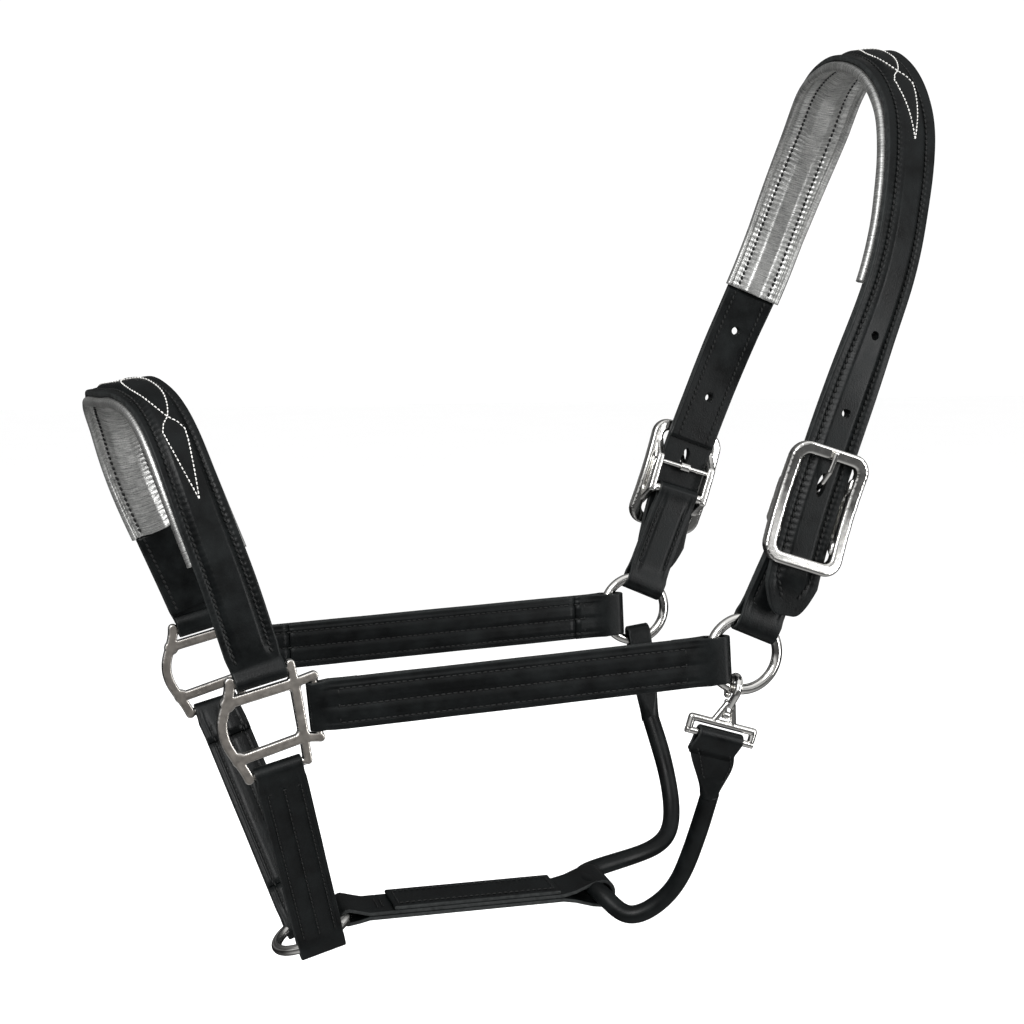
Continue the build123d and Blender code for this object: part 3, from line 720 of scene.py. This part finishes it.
def fold_rings(side):
    """Rings for the noseband's turned end, from the strap to the return inside the square's bar."""
    place = bar_middle(side, TOP_FOLD_BAR)
    end = nose_line.at(np.array([0.0 if side == NEAR else nose_line.length]))[0]
    reach = Vector(end) - place
    across = on_square(side, *TOP_FOLD_BAR[1]) - on_square(side, *TOP_FOLD_BAR[0])
    frame_ = bar_frame(side, place, across, reach)
    flip = 1.0 if frame_.y.x > 0 else -1.0
    face, behind = 0.5 * math.pi, 1.5 * math.pi
    stations = [(reach.length * 0.66, face, -0.8, 2.1), (reach.length * 0.33, face, 1.0, 3.6)]
    stations += [(0.0, face + math.pi * k / TURN_STEPS, FOLD_INNER, FOLD_OUTER)
                 for k in range(TURN_STEPS + 1)]
    stations += [(3.0, behind, 2.3, 4.3), (8.0, behind, 2.8, 4.4)]
    rings, uv, wear_and_flat_shade = [], [], []
    for i, (x, angle, low, top) in enumerate(stations):
        a, n = section(FOLD_WIDTH, level(low), level(top), 0.7, ARCH_POINTS)
        local = (np.array([x, 0, 0]) + np.outer(a * flip, [0, 1, 0])
                 + np.outer(n, [math.cos(angle), 0, math.sin(angle)]))
        rings.append(frame_.to_world(local))
        uv.append(np.stack([a, np.full_like(a, i * 1.5)], 1))
        wear_and_flat_shade.append(edge_wear(a, FOLD_WIDTH, 0.7))
    return rings, uv, wear_and_flat_shade


def nose_width(s):
    share = float(smooth(min(s, nose_line.length - s) / 8))
    return FOLD_WIDTH + (NOSE_WIDTH - FOLD_WIDTH) * share


def noseband():
    steps = steps_between(0, nose_line.length)
    rings, uv, wear_and_flat_shade = arch_rings(nose_line, steps, nose_width, level(BACK), NOSE_TOP, 1.0)
    near, far = fold_rings(NEAR), fold_rings(OFF)
    rings = near[0][::-1] + rings + far[0]
    points, faces = skin(rings)
    strap = piece("noseband_leather", points, faces, "head_frame", "black_leather", LEATHER,
                  np.concatenate(near[1][::-1] + uv + far[1]), np.concatenate(near[2][::-1] + wear_and_flat_shade + far[2]))
    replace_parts(strap, "noseband_strap")

    padding("noseband", nose_line, NOSE_PAD_END_Z, lambda q: NOSE_PAD_WIDTH, NOSE_LOW, "head_frame")
    for name, side in SIDES.items():
        facing = inner_facing(f"{name}_noseband", side, nose_line,
                              (NOSE_PAD_END_Z - 0.6, NOSE_FACING_END_Z), NOSE_WIDTH - 1.5, "head_frame")
        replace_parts(facing, f"{name}_noseband_facing")


def arch_stitching(name, line, top, low, pad_z, facing_z, body):
    """Both rows of stitches, seen on the face, on the padding and on the facings."""
    pad_ends = pad_span(line, pad_z)
    facing_ends = [sorted(line.where(z, side) for z in (pad_z, facing_z)) for side in (NEAR, OFF)]
    length = line.length
    marks = []
    for edge in (-1, 1):
        path = [(9, 4.5 * edge), (20, ROW * edge), (length - 20, ROW * edge), (length - 9, 4.5 * edge)]
        if line is nose_line:
            path = [(3, ROW * edge), (length - 3, ROW * edge)]
        marks += arch_row(line, path, lambda a, s: top(a, s) + 0.25)
        marks += arch_row(line, [(pad_ends[0] + 2, ROW * edge), (pad_ends[1] - 2, ROW * edge)],
                          lambda a, s: low(a, s) - 0.2)
        for start, end in facing_ends:
            marks += arch_row(line, [(start + 1.5, ROW * edge), (end - 1.5, ROW * edge)],
                              level(FACING_STITCH))
    stitching(f"{name}_stitching", marks, 3.0, 0.62, body, 0.26)


def leaf_stitching(name, line, top, tip, crossing, body):
    """Fine stitched leaves: a pointed oval, then a long drop, on each side of the top."""
    middle, marks = line.length / 2, []
    share = np.linspace(0, 1, 16)
    for way in (-1, 1):
        for edge in (-1, 1):
            oval = [(middle + way * crossing * t, edge * 6.6 * math.sin(math.pi * t) ** 0.85) for t in share]
            drop = [(crossing, 0), (crossing + 3.6, 3.6), (crossing + 8.5, 5.9), (crossing + 15, 5.2),
                    (crossing + 29, 2.9), (tip, 0)]
            drop = [(middle + way * s, edge * a) for s, a in drop]
            marks += arch_row(line, oval, lambda a, s: top(a, s) + 0.12, FINE_PITCH)
            marks += arch_row(line, drop, lambda a, s: top(a, s) + 0.12, FINE_PITCH)
    stitching(f"{name}_leaf_stitching", marks, 1.75, 0.3, body, white=True)


# ---------------------------------------------------------------- flat straps

def looped(tip, ring_x, half, first, last):
    """Stations of a strap turned round a bar at 0 and round a ring's wire near ring_x."""
    open_low, open_top = RING_INNER, RING_INNER + PLY
    return (
        [(first, 0, INSIDE, GAP, half), (7.5, 0, INSIDE, GAP, half), (3.5, 0, INSIDE, 1.4, half + 0.6)]
        + turn(0, 0, INSIDE, OUTSIDE, FOLD_INNER, FOLD_OUTER)
        + [(3.5, 0, OUTSIDE, 1.4, half + 0.6), (7.5, 0, OUTSIDE, GAP, half),
           (ring_x - 9, 0, OUTSIDE, GAP, half), (ring_x - 4.5, 0, OUTSIDE, 1.2, half + 0.8),
           (ring_x - 1, 0, OUTSIDE, open_low, open_top)]
        + turn(tip, 0, OUTSIDE, UNDER, open_low, open_top)
        + [(ring_x - 1, 0, UNDER, open_low, open_top), (ring_x - 4.5, 0, UNDER, 1.2, half + 0.8),
           (ring_x - 9, 0, UNDER, GAP, half), (last, 0, UNDER, GAP, half)]
    )


class Bent:
    """A strap whose first stretch is square to its bar and whose rest follows its own line."""

    def __init__(self, frame_, bar_y):
        self.frame, self.bar_y = frame_, bar_y if bar_y.dot(frame_.y) > 0 else -bar_y

    def to_world(self, local):
        share = float(smooth((np.mean(local[:, 0]) - 4) / 10))
        y = self.bar_y.lerp(self.frame.y, share)
        mixed = Frame(self.frame.o, self.frame.x, y=y) if share < 1 else self.frame
        return mixed.to_world(local)


def block(frame_, x0, x1, width, angle, low, top, relief=None):
    """A plain layer of leather between two places."""
    inset = 0.5
    stations = [(x0, 0, angle, low + inset, top - inset), (x0 + 0.4, 0, angle, low, top),
                (x1 - 0.4, 0, angle, low, top), (x1, 0, angle, low + inset, top - inset)]
    return belt(frame_, stations, width, relief=relief, flat=top)


def end_width(tip):
    """A strap is a little narrower where it is turned round the square's bar."""
    return lambda x: CHEEK_WIDTH - (1.0 if x < 6 else 0.0) - (0.6 if x > tip - 6 else 0.0)


def doubled(name, frame_, bar_y, tip, ring_x, reach, first, last, rows):
    """A doubled strap and the ply that lies between its turned ends."""
    relief = quilted(rows)
    parts = belt(Bent(frame_, bar_y), looped(tip, ring_x, DOUBLED, first, last),
                 end_width(reach), relief=relief)
    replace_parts(leather(f"{name}_leather", parts), f"{name}_strap")
    parts = block(frame_, first + 0.3, last - 0.3, CHEEK_WIDTH - 0.3, INSIDE, GAP, DOUBLED, relief)
    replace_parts(leather(f"{name}_inner_layer", parts), f"{name}_liner")


def cheek(name, side):
    start = bar_middle(side, CHEEK_FOLD_BAR)
    along = ring_centre(side) - Vector((0, 0, 1.8)) - start
    tip = along.length - 7.0 - RING_FOLD
    frame_ = Frame(start, along, z=(0, side, 0))
    bar_y = (on_square(side, *CHEEK_FOLD_BAR[1]) - on_square(side, *CHEEK_FOLD_BAR[0])).normalized()
    ring_x = along.length - RING_RADIUS
    across = [8.2 * -side, -0.6 * -side, -9.0 * -side]
    doubled(f"{name}_cheek", frame_, bar_y, tip, ring_x, tip, 22, tip - 26, across)
    rows = []
    for face in (DOUBLED + SUNK, -DOUBLED - SUNK):
        for y in across:
            rows += flat_row(frame_, [(11, y), (ring_x - 14, y)], face)
        for x in (11, ring_x - 14):
            rows += flat_row(frame_, [(x, across[0]), (x, across[-1])], face)
    stitching(f"{name}_cheek_stitching", rows, *STRAP_STITCH, "head_frame")


def chin(name, side):
    start = bar_middle(side, CHIN_FOLD_BAR)
    along = CHIN_RING_CENTRE + Vector((0, CHIN_RING_RADIUS * side, 0)) - start
    across = (on_square(side, *CHIN_FOLD_BAR[1]) - on_square(side, *CHIN_FOLD_BAR[0])).normalized()
    frame_ = Frame(start, along, z=bar_frame(side, start, across, along).z)
    length = along.length
    doubled(f"{name}_chin", frame_, across, length + 3, length - 1, length, 20, length - 22,
            CHIN_ROWS)
    rows = []
    for face in (DOUBLED + SUNK, -DOUBLED - SUNK):
        for y in CHIN_ROWS:
            rows += flat_row(frame_, [(11, y), (length - 8, y)], face)
        rows += flat_row(frame_, [(11, CHIN_ROWS[0]), (11, CHIN_ROWS[-1])], face)
    stitching(f"{name}_chin_stitching", rows, *STRAP_STITCH, "head_frame")


def chape(name, side):
    """The short doubled strap that carries the buckle from the ring."""
    buckle = strap_frame(side, BUCKLE_Z)
    start = Vector(buckle.to_world((CHAPE_X, 0, CHAPE_Z)))
    down = ring_centre(side) - start
    frame_ = Frame(start, down, z=(0, side, 0))
    tip, ring_x, half = down.length - 9.5 - RING_FOLD, down.length - RING_RADIUS, 2.7
    middle = tip * 0.45
    parts = belt(Bent(frame_, buckle.y), looped(tip, ring_x, half, middle, middle), CHEEK_WIDTH - 1.2,
                 closed=True, relief=quilted([CHAPE_ROW, -CHAPE_ROW], 0.1), flat=half)
    strap = leather(f"{name}_buckle_chape", parts, "headpiece")
    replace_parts(strap, f"{name}_chape")
    rows = []
    for face in (half + 0.15, -half - 0.15):
        for y in (CHAPE_ROW, -CHAPE_ROW):
            rows += flat_row(frame_, [(13, y), (ring_x - 8, y)], face)
        rows += flat_row(frame_, [(13, CHAPE_ROW), (10.5, 0), (13, -CHAPE_ROW)], face)
        rows += flat_row(frame_, [(ring_x - 8, CHAPE_ROW), (ring_x - 6, 0), (ring_x - 8, -CHAPE_ROW)], face)
    stitching(f"{name}_chape_stitching", rows, 2.5, 0.46, "headpiece")


# ---------------------------------------------------------------- jowl strap and throat lash

def jowl():
    aim = Vector((math.cos(CHIN_RING_TILT), 0, math.sin(CHIN_RING_TILT)))
    start = CHIN_RING_CENTRE + aim * CHIN_RING_RADIUS
    along = JOWL_TAIL - start
    length, width = along.length, CHEEK_WIDTH - 0.6
    frame_ = Frame(start, along, z=JOWL_LEAN)
    loop = LASH_RADIUS + 0.9
    stations = (
        [(60, -0.5, INSIDE, GAP, JOWL_PLY), (10, -0.5, INSIDE, GAP, JOWL_PLY), (5, -0.4, INSIDE, 1.4, 3.6)]
        + turn(-1.5, 0, INSIDE, OUTSIDE, RING_INNER, RING_INNER + PLY)
        + [(5, -0.4, OUTSIDE, 1.4, 3.6), (10, -0.5, OUTSIDE, GAP, JOWL_PLY),
           (length - 22, -0.5, OUTSIDE, GAP, JOWL_PLY), (length - 15, -0.4, OUTSIDE, 1.6, 3.8),
           (length - 5, 0, OUTSIDE, loop - 0.8, loop + PLY - 0.8)]
        + turn(length, 0, OUTSIDE, UNDER, loop, loop + PLY)
        + [(length - 5, 0, UNDER, loop - 0.8, loop + PLY - 0.8), (length - 15, -0.4, UNDER, 1.6, 3.8),
           (length - 22, -0.5, UNDER, GAP, JOWL_PLY), (60, -0.5, UNDER, GAP, JOWL_PLY)]
    )
    parts = belt(frame_, stations, width, closed=True)
    strap = leather("jowl_leather", parts)
    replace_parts(strap, "jowl_strap")
    first, last = 23.5, length - 24
    parts = block(frame_, first, last, width, 0.5 * math.pi, 1.95, 4.2)
    cover = leather("jowl_top_layer", parts)
    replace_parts(cover, "jowl_cover")
    rows = []
    for y in (JOWL_ROW, -JOWL_ROW):
        rows += flat_row(frame_, [(first + 3, y), (last - 3, y)], 4.35)
        rows += flat_row(frame_, [(first + 3, y), (last - 3, y)], -3.05)
    for x in (first + 3, last - 3):
        rows += flat_row(frame_, [(x, JOWL_ROW), (x, -JOWL_ROW)], 4.35)
    for x in (15.5, 18.5):
        rows += flat_row(frame_, [(x, 6), (x, -6)], 2.05)
    stitching("jowl_stitching", rows, 2.6, 0.42, "head_frame")


def lash():
    """The rolled throat lash, with the butted seam of the roll along its inner side."""
    line = through(LASH_LINE)
    s = steps_between(0, line.length, 1.4)
    places, tangents = line.at(s), line.tangent(s)
    side = unit(np.cross(tangents[0], [0.0, 0.0, 1.0]))
    angles = np.linspace(0, 2 * math.pi, 33)[:-1]
    crease = np.exp(-((angles - math.pi) / 0.13) ** 2)
    rings, uv = [], []
    for place, tangent, here in zip(places, tangents, s):
        side = unit(side - tangent * side.dot(tangent))
        up = np.cross(tangent, side)
        radius = LASH_RADIUS + wander(here, 0.08) - 0.75 * crease
        rings.append(place + np.outer(radius * np.cos(angles), side) + np.outer(radius * np.sin(angles), up))
        uv.append(np.stack([angles * LASH_RADIUS, np.full_like(angles, here)], 1))
    points, faces = skin(rings)
    wear_and_flat_shade = np.tile(0.7 * np.exp(-((angles - math.pi) / 0.25) ** 2), len(rings))
    made = piece("throat_lash_roll", points, faces, "head_frame", "black_leather", LEATHER,
                 np.concatenate(uv), wear_and_flat_shade)
    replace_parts(made, "throat_lash")


def tab_body(frame_, start_x, foot, width, half):
    """A flat tab that narrows and rounds into the rolled lash."""
    rings, uv, wear_and_flat_shade = [], [], []
    for share in np.linspace(0, 1, 30):
        x = start_x + (foot.x + 2 - start_x) * share
        narrow = float(smooth((share - 0.12) / 0.88))
        wide = width + (2 * LASH_RADIUS + 0.5 - width) * narrow
        thick = half + (LASH_RADIUS + 0.15 - half) * float(smooth((share - 0.45) / 0.55))
        corner = 0.8 + (min(thick, wide / 2) * 0.96 - 0.8) * float(smooth((share - 0.4) / 0.5))
        a, n = section(wide, level(-thick), level(thick), corner)
        local = np.array([x, foot.y * share, foot.z * share])
        local = local + np.outer(a, [0, 1, 0]) + np.outer(n, [0, 0, 1])
        rings.append(frame_.to_world(local))
        uv.append(np.stack([a, np.full_like(a, x)], 1))
        wear_and_flat_shade.append(edge_wear(a, wide, 0.8) * (1 - narrow))
    points, faces = skin(rings)
    return points, faces, np.concatenate(uv), np.concatenate(wear_and_flat_shade)


def snap_axes():
    """The snap's middle contact on its ring, its crosswise direction and its pull."""
    pull = Vector((-0.29, 0, -0.957)).normalized()
    return ring_centre(NEAR) + pull * RING_RADIUS, Vector((-pull.z, 0, pull.x)), pull


def tabs():
    contact, across, pull = snap_axes()
    start, end = contact + pull * 26.5, Vector(LASH_LINE[-1])
    frame_ = Frame(start, end - start, y=across)
    reach = end - start
    foot = Vector((reach.dot(frame_.x), reach.dot(frame_.y), 0))
    fold = ([(12, 0, INSIDE, GAP, TAB_PLY), (7, 0, INSIDE, 0.3, 2.7), (3.5, 0, INSIDE, 1.4, 3.6)]
            + turn(0, 0, INSIDE, OUTSIDE, FOLD_INNER, FOLD_OUTER)
            + [(3.5, 0, OUTSIDE, 1.4, 3.6), (7, 0, OUTSIDE, 0.3, 2.7), (12, 0, OUTSIDE, GAP, TAB_PLY)])
    parts = join([belt(frame_, fold, TAB_WIDTH), tab_body(frame_, 8, foot, TAB_WIDTH, 2.4)])
    made = leather("near_lash_tab_leather", parts)
    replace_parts(made, "near_lash_tab")
    rows = []
    for face in (2.6, -2.6):
        for edge in (1, -1):
            path = [(8, 9.5 * edge), (14, 9.0 * edge + 0.35 * foot.y), (24, 6.2 * edge + 0.65 * foot.y),
                    (31, foot.y * 0.85)]
            rows += flat_row(frame_, path, face, 2.8)
    stitching("near_lash_tab_stitching", rows, 2.3, 0.36, "head_frame")

    centre, end = ring_centre(OFF), Vector(LASH_LINE[0])
    frame_ = Frame(centre, end - centre, z=(0, 1, 0))
    foot = Vector(((end - centre).length, 0, 0))
    tip = 9.5 + RING_FOLD
    fold = ([(34, 0, INSIDE, GAP, TAB_PLY), (28, 0, INSIDE, 0.6, 2.8),
             (23, 0, INSIDE, RING_INNER, RING_INNER + PLY)]
            + turn(tip, 0, INSIDE, OUTSIDE, RING_INNER, RING_INNER + PLY)
            + [(23, 0, OUTSIDE, RING_INNER, RING_INNER + PLY), (28, 0, OUTSIDE, 0.6, 2.8),
               (34, 0, OUTSIDE, GAP, TAB_PLY)])
    parts = join([belt(frame_, fold, 13.0), tab_body(frame_, 30, foot, 14.0, 2.4)])
    made = leather("far_lash_tab_leather", parts)
    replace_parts(made, "far_lash_tab")


# ---------------------------------------------------------------- metal

def cast(name, source, body, slot, material, voxel, passes, swell=0.0, bosses=()):
    """A casting: the design's own shape with its edges rounded; swell gives back what rounding takes.

    Bosses fill out the places where its bars meet.
    """
    work = bmesh.new()
    work.from_mesh(nodes[source].data)
    for place in bosses:
        matrix = Matrix.Translation(place * MM) @ Matrix.Rotation(math.pi / 2, 4, "X")
        bmesh.ops.create_cone(work, cap_ends=True, segments=24, radius1=3.5 * MM, radius2=3.5 * MM,
                              depth=3.7 * MM, matrix=matrix)
    mesh = bpy.data.meshes.new(name)
    work.to_mesh(mesh)
    work.free()
    made = bpy.data.objects.new(name, mesh)
    bpy.context.scene.collection.objects.link(made)
    remesh = made.modifiers.new("voxels", "REMESH")
    remesh.mode, remesh.voxel_size = "VOXEL", voxel * MM
    soften = made.modifiers.new("soften", "SMOOTH")
    soften.factor, soften.iterations = 0.5, passes
    settle(made)
    mesh = made.data
    mesh.materials.clear()
    mesh.materials.append(material)
    mesh.polygons.foreach_set("use_smooth", [True] * len(mesh.polygons))
    points, normals = np.zeros(len(mesh.vertices) * 3), np.zeros(len(mesh.vertices) * 3)
    mesh.vertices.foreach_get("co", points)
    mesh.vertices.foreach_get("normal", normals)
    mesh.vertices.foreach_set("co", points + normals * swell * MM)
    # Marks the flat faces, square to y; the satin material paints them darker, which is painted shade, and
    # duller, which is their satin finish.
    flat = np.clip((np.abs(normals.reshape(-1, 3)[:, 1]) - 0.8) / 0.18, 0, 1)
    mesh.attributes.new("wear_and_flat_shade", "FLOAT", "POINT").data.foreach_set("value", flat.astype(np.float32))
    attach(made, body)
    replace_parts(made, source)
    return made


def metal():
    for name, side in SIDES.items():
        corners = [on_square(side, *corner) for corner in BAR_JOINTS]
        cast(f"{name}_cheek_square", f"{name}_square", "head_frame", "satin_steel", SATIN_SHADED_FLATS,
             CASTING_VOXEL, 14, 0.45, corners)
        cast(f"{name}_buckle_frame", f"{name}_buckle", "headpiece", "polished_steel", STEEL,
             CASTING_VOXEL, 14, 1.0)
        cast(f"{name}_buckle_tongue", f"{name}_tongue", f"{name}_tongue", "polished_steel", STEEL, 0.2, 4)
    cast("snap_hook_casting", "snap_frame", "snap_hook", "polished_steel", STEEL, 0.26, 12)
    cast("snap_gate_lever", "snap_gate", "snap_gate", "polished_steel", STEEL, 0.2, 4)
    kept = ["near_cheek_ring", "far_cheek_ring", "chin_ring", "near_tongue_rod", "far_tongue_rod",
            "snap_crossbar", "snap_gate_pin"]
    for name in kept:
        for slot in nodes[name].material_slots:
            slot.material = STEEL


# ---------------------------------------------------------------- stage

def aim_at(made, place, target):
    made.location = Vector(place)
    made.rotation_euler = (Vector(target) - Vector(place)).to_track_quat("-Z", "Y").to_euler()


def softbox(name, place, target, width, height, power, mirrored=True):
    lamp = bpy.data.lights.new(name, "AREA")
    lamp.shape, lamp.size, lamp.size_y, lamp.energy = "RECTANGLE", width, height, power
    made = bpy.data.objects.new(name, lamp)
    bpy.context.scene.collection.objects.link(made)
    made.visible_glossy = mirrored
    aim_at(made, place, target)


def stage():
    low = Vector(cad_box[0])
    mesh = bpy.data.meshes.new("floor")
    corners = [(-1, -1), (1, -1), (1, 1), (-1, 1)]
    corners = [(FLOOR_REACH * x, FLOOR_REACH * y, low.z - FLOOR_DROP) for x, y in corners]
    mesh.from_pydata(corners, [], [(0, 1, 2, 3)])
    look = Look("floor_paper", Roughness=0.9, Specular_IOR_Level=0.1)
    speckle = look.noise(look.node("TexCoord", "Object"), 3.0)
    look.to("Base Color", look.mix(speckle, (0.95, 0.95, 0.95, 1), (0.97, 0.97, 0.97, 1)))
    mesh.materials.append(look.material)
    floor = bpy.data.objects.new("floor", mesh)
    bpy.context.scene.collection.objects.link(floor)
    floor.visible_glossy = False

    world = bpy.data.worlds.new("studio")
    bpy.context.scene.world = world
    world.use_nodes = True
    tree = world.node_tree
    background = tree.nodes["Background"]

    def add(kind, **settings):
        made = tree.nodes.new("ShaderNode" + kind)
        for key, value in settings.items():
            setattr(made, key, value)
        return made

    split = add("SeparateXYZ")
    tree.links.new(add("TexCoord").outputs["Generated"], split.inputs[0])
    height = add("MapRange")
    height.inputs["From Min"].default_value = -1.0
    tree.links.new(split.outputs["Z"], height.inputs["Value"])
    sky = add("ValToRGB")
    shades = [(0.0, 0.55), (0.30, 0.10), (0.44, 0.06), (0.50, 0.50), (0.56, 0.85), (0.62, 0.16), (0.78, 0.8),
              (1.0, 1.2)]
    while len(sky.color_ramp.elements) < len(shades):
        sky.color_ramp.elements.new(0.5)
    for element, (place, shade) in zip(sky.color_ramp.elements, shades):
        element.position, element.color = place, (shade, shade, shade, 1)
    tree.links.new(height.outputs["Result"], sky.inputs["Fac"])
    ahead = add("MapRange")
    for key, value in (("From Min", -0.15), ("From Max", 0.3), ("To Min", 1.0), ("To Max", 0.22)):
        ahead.inputs[key].default_value = value
    tree.links.new(split.outputs["Y"], ahead.inputs["Value"])
    shaded = add("VectorMath", operation="SCALE")
    tree.links.new(sky.outputs["Color"], shaded.inputs[0])
    tree.links.new(ahead.outputs["Result"], shaded.inputs["Scale"])
    choice = add("Mix", data_type="RGBA")
    tree.links.new(add("LightPath").outputs["Is Glossy Ray"], choice.inputs[0])
    choice.inputs[6].default_value = (1.06, 1.06, 1.06, 1)
    tree.links.new(shaded.outputs["Vector"], choice.inputs[7])
    tree.links.new(choice.outputs[2], background.inputs["Color"])
    world.cycles.sampling_method = "NONE"

    middle = (Vector(cad_box[0]) + Vector(cad_box[1])) / 2
    softbox("key", middle + Vector((-0.9, -1.3, 0.9)), middle, 0.9, 0.9, 26)
    softbox("fill", middle + Vector((1.15, -1.2, 0.05)), middle, 0.5, 1.2, 15)
    softbox("back", middle + Vector((0.3, 1.4, 0.8)), middle, 1.2, 0.6, 16, mirrored=False)
    bpy.context.scene.view_settings.view_transform = "Standard"


def camera():
    lens = bpy.data.cameras.new("camera")
    lens.lens, lens.sensor_width = LENS, SENSOR
    made = bpy.data.objects.new("camera", lens)
    bpy.context.scene.collection.objects.link(made)
    right, ahead = Vector(CAMERA_RIGHT), Vector(CAMERA_AHEAD)
    up = right.cross(ahead)
    turned = Matrix((right, up, -ahead)).transposed()
    made.matrix_world = Matrix.Translation(CAMERA_AT) @ turned.to_4x4()
    bpy.context.scene.camera = made


camera()
stage()
crown()
noseband()
arch_stitching("crown", crown_line, CROWN_TOP, CROWN_LOW, CROWN_PAD_END_Z, FACING_END_Z, "headpiece")
arch_stitching("noseband", nose_line, NOSE_TOP, NOSE_LOW, NOSE_PAD_END_Z, NOSE_FACING_END_Z, "head_frame")
leaf_stitching("crown", crown_line, CROWN_TOP, 92, 46, "headpiece")
leaf_stitching("noseband", nose_line, NOSE_TOP, 98, 53, "head_frame")
for name, side in SIDES.items():
    cheek(name, side)
    chin(name, side)
    chape(name, side)
jowl()
lash()
tabs()
metal()
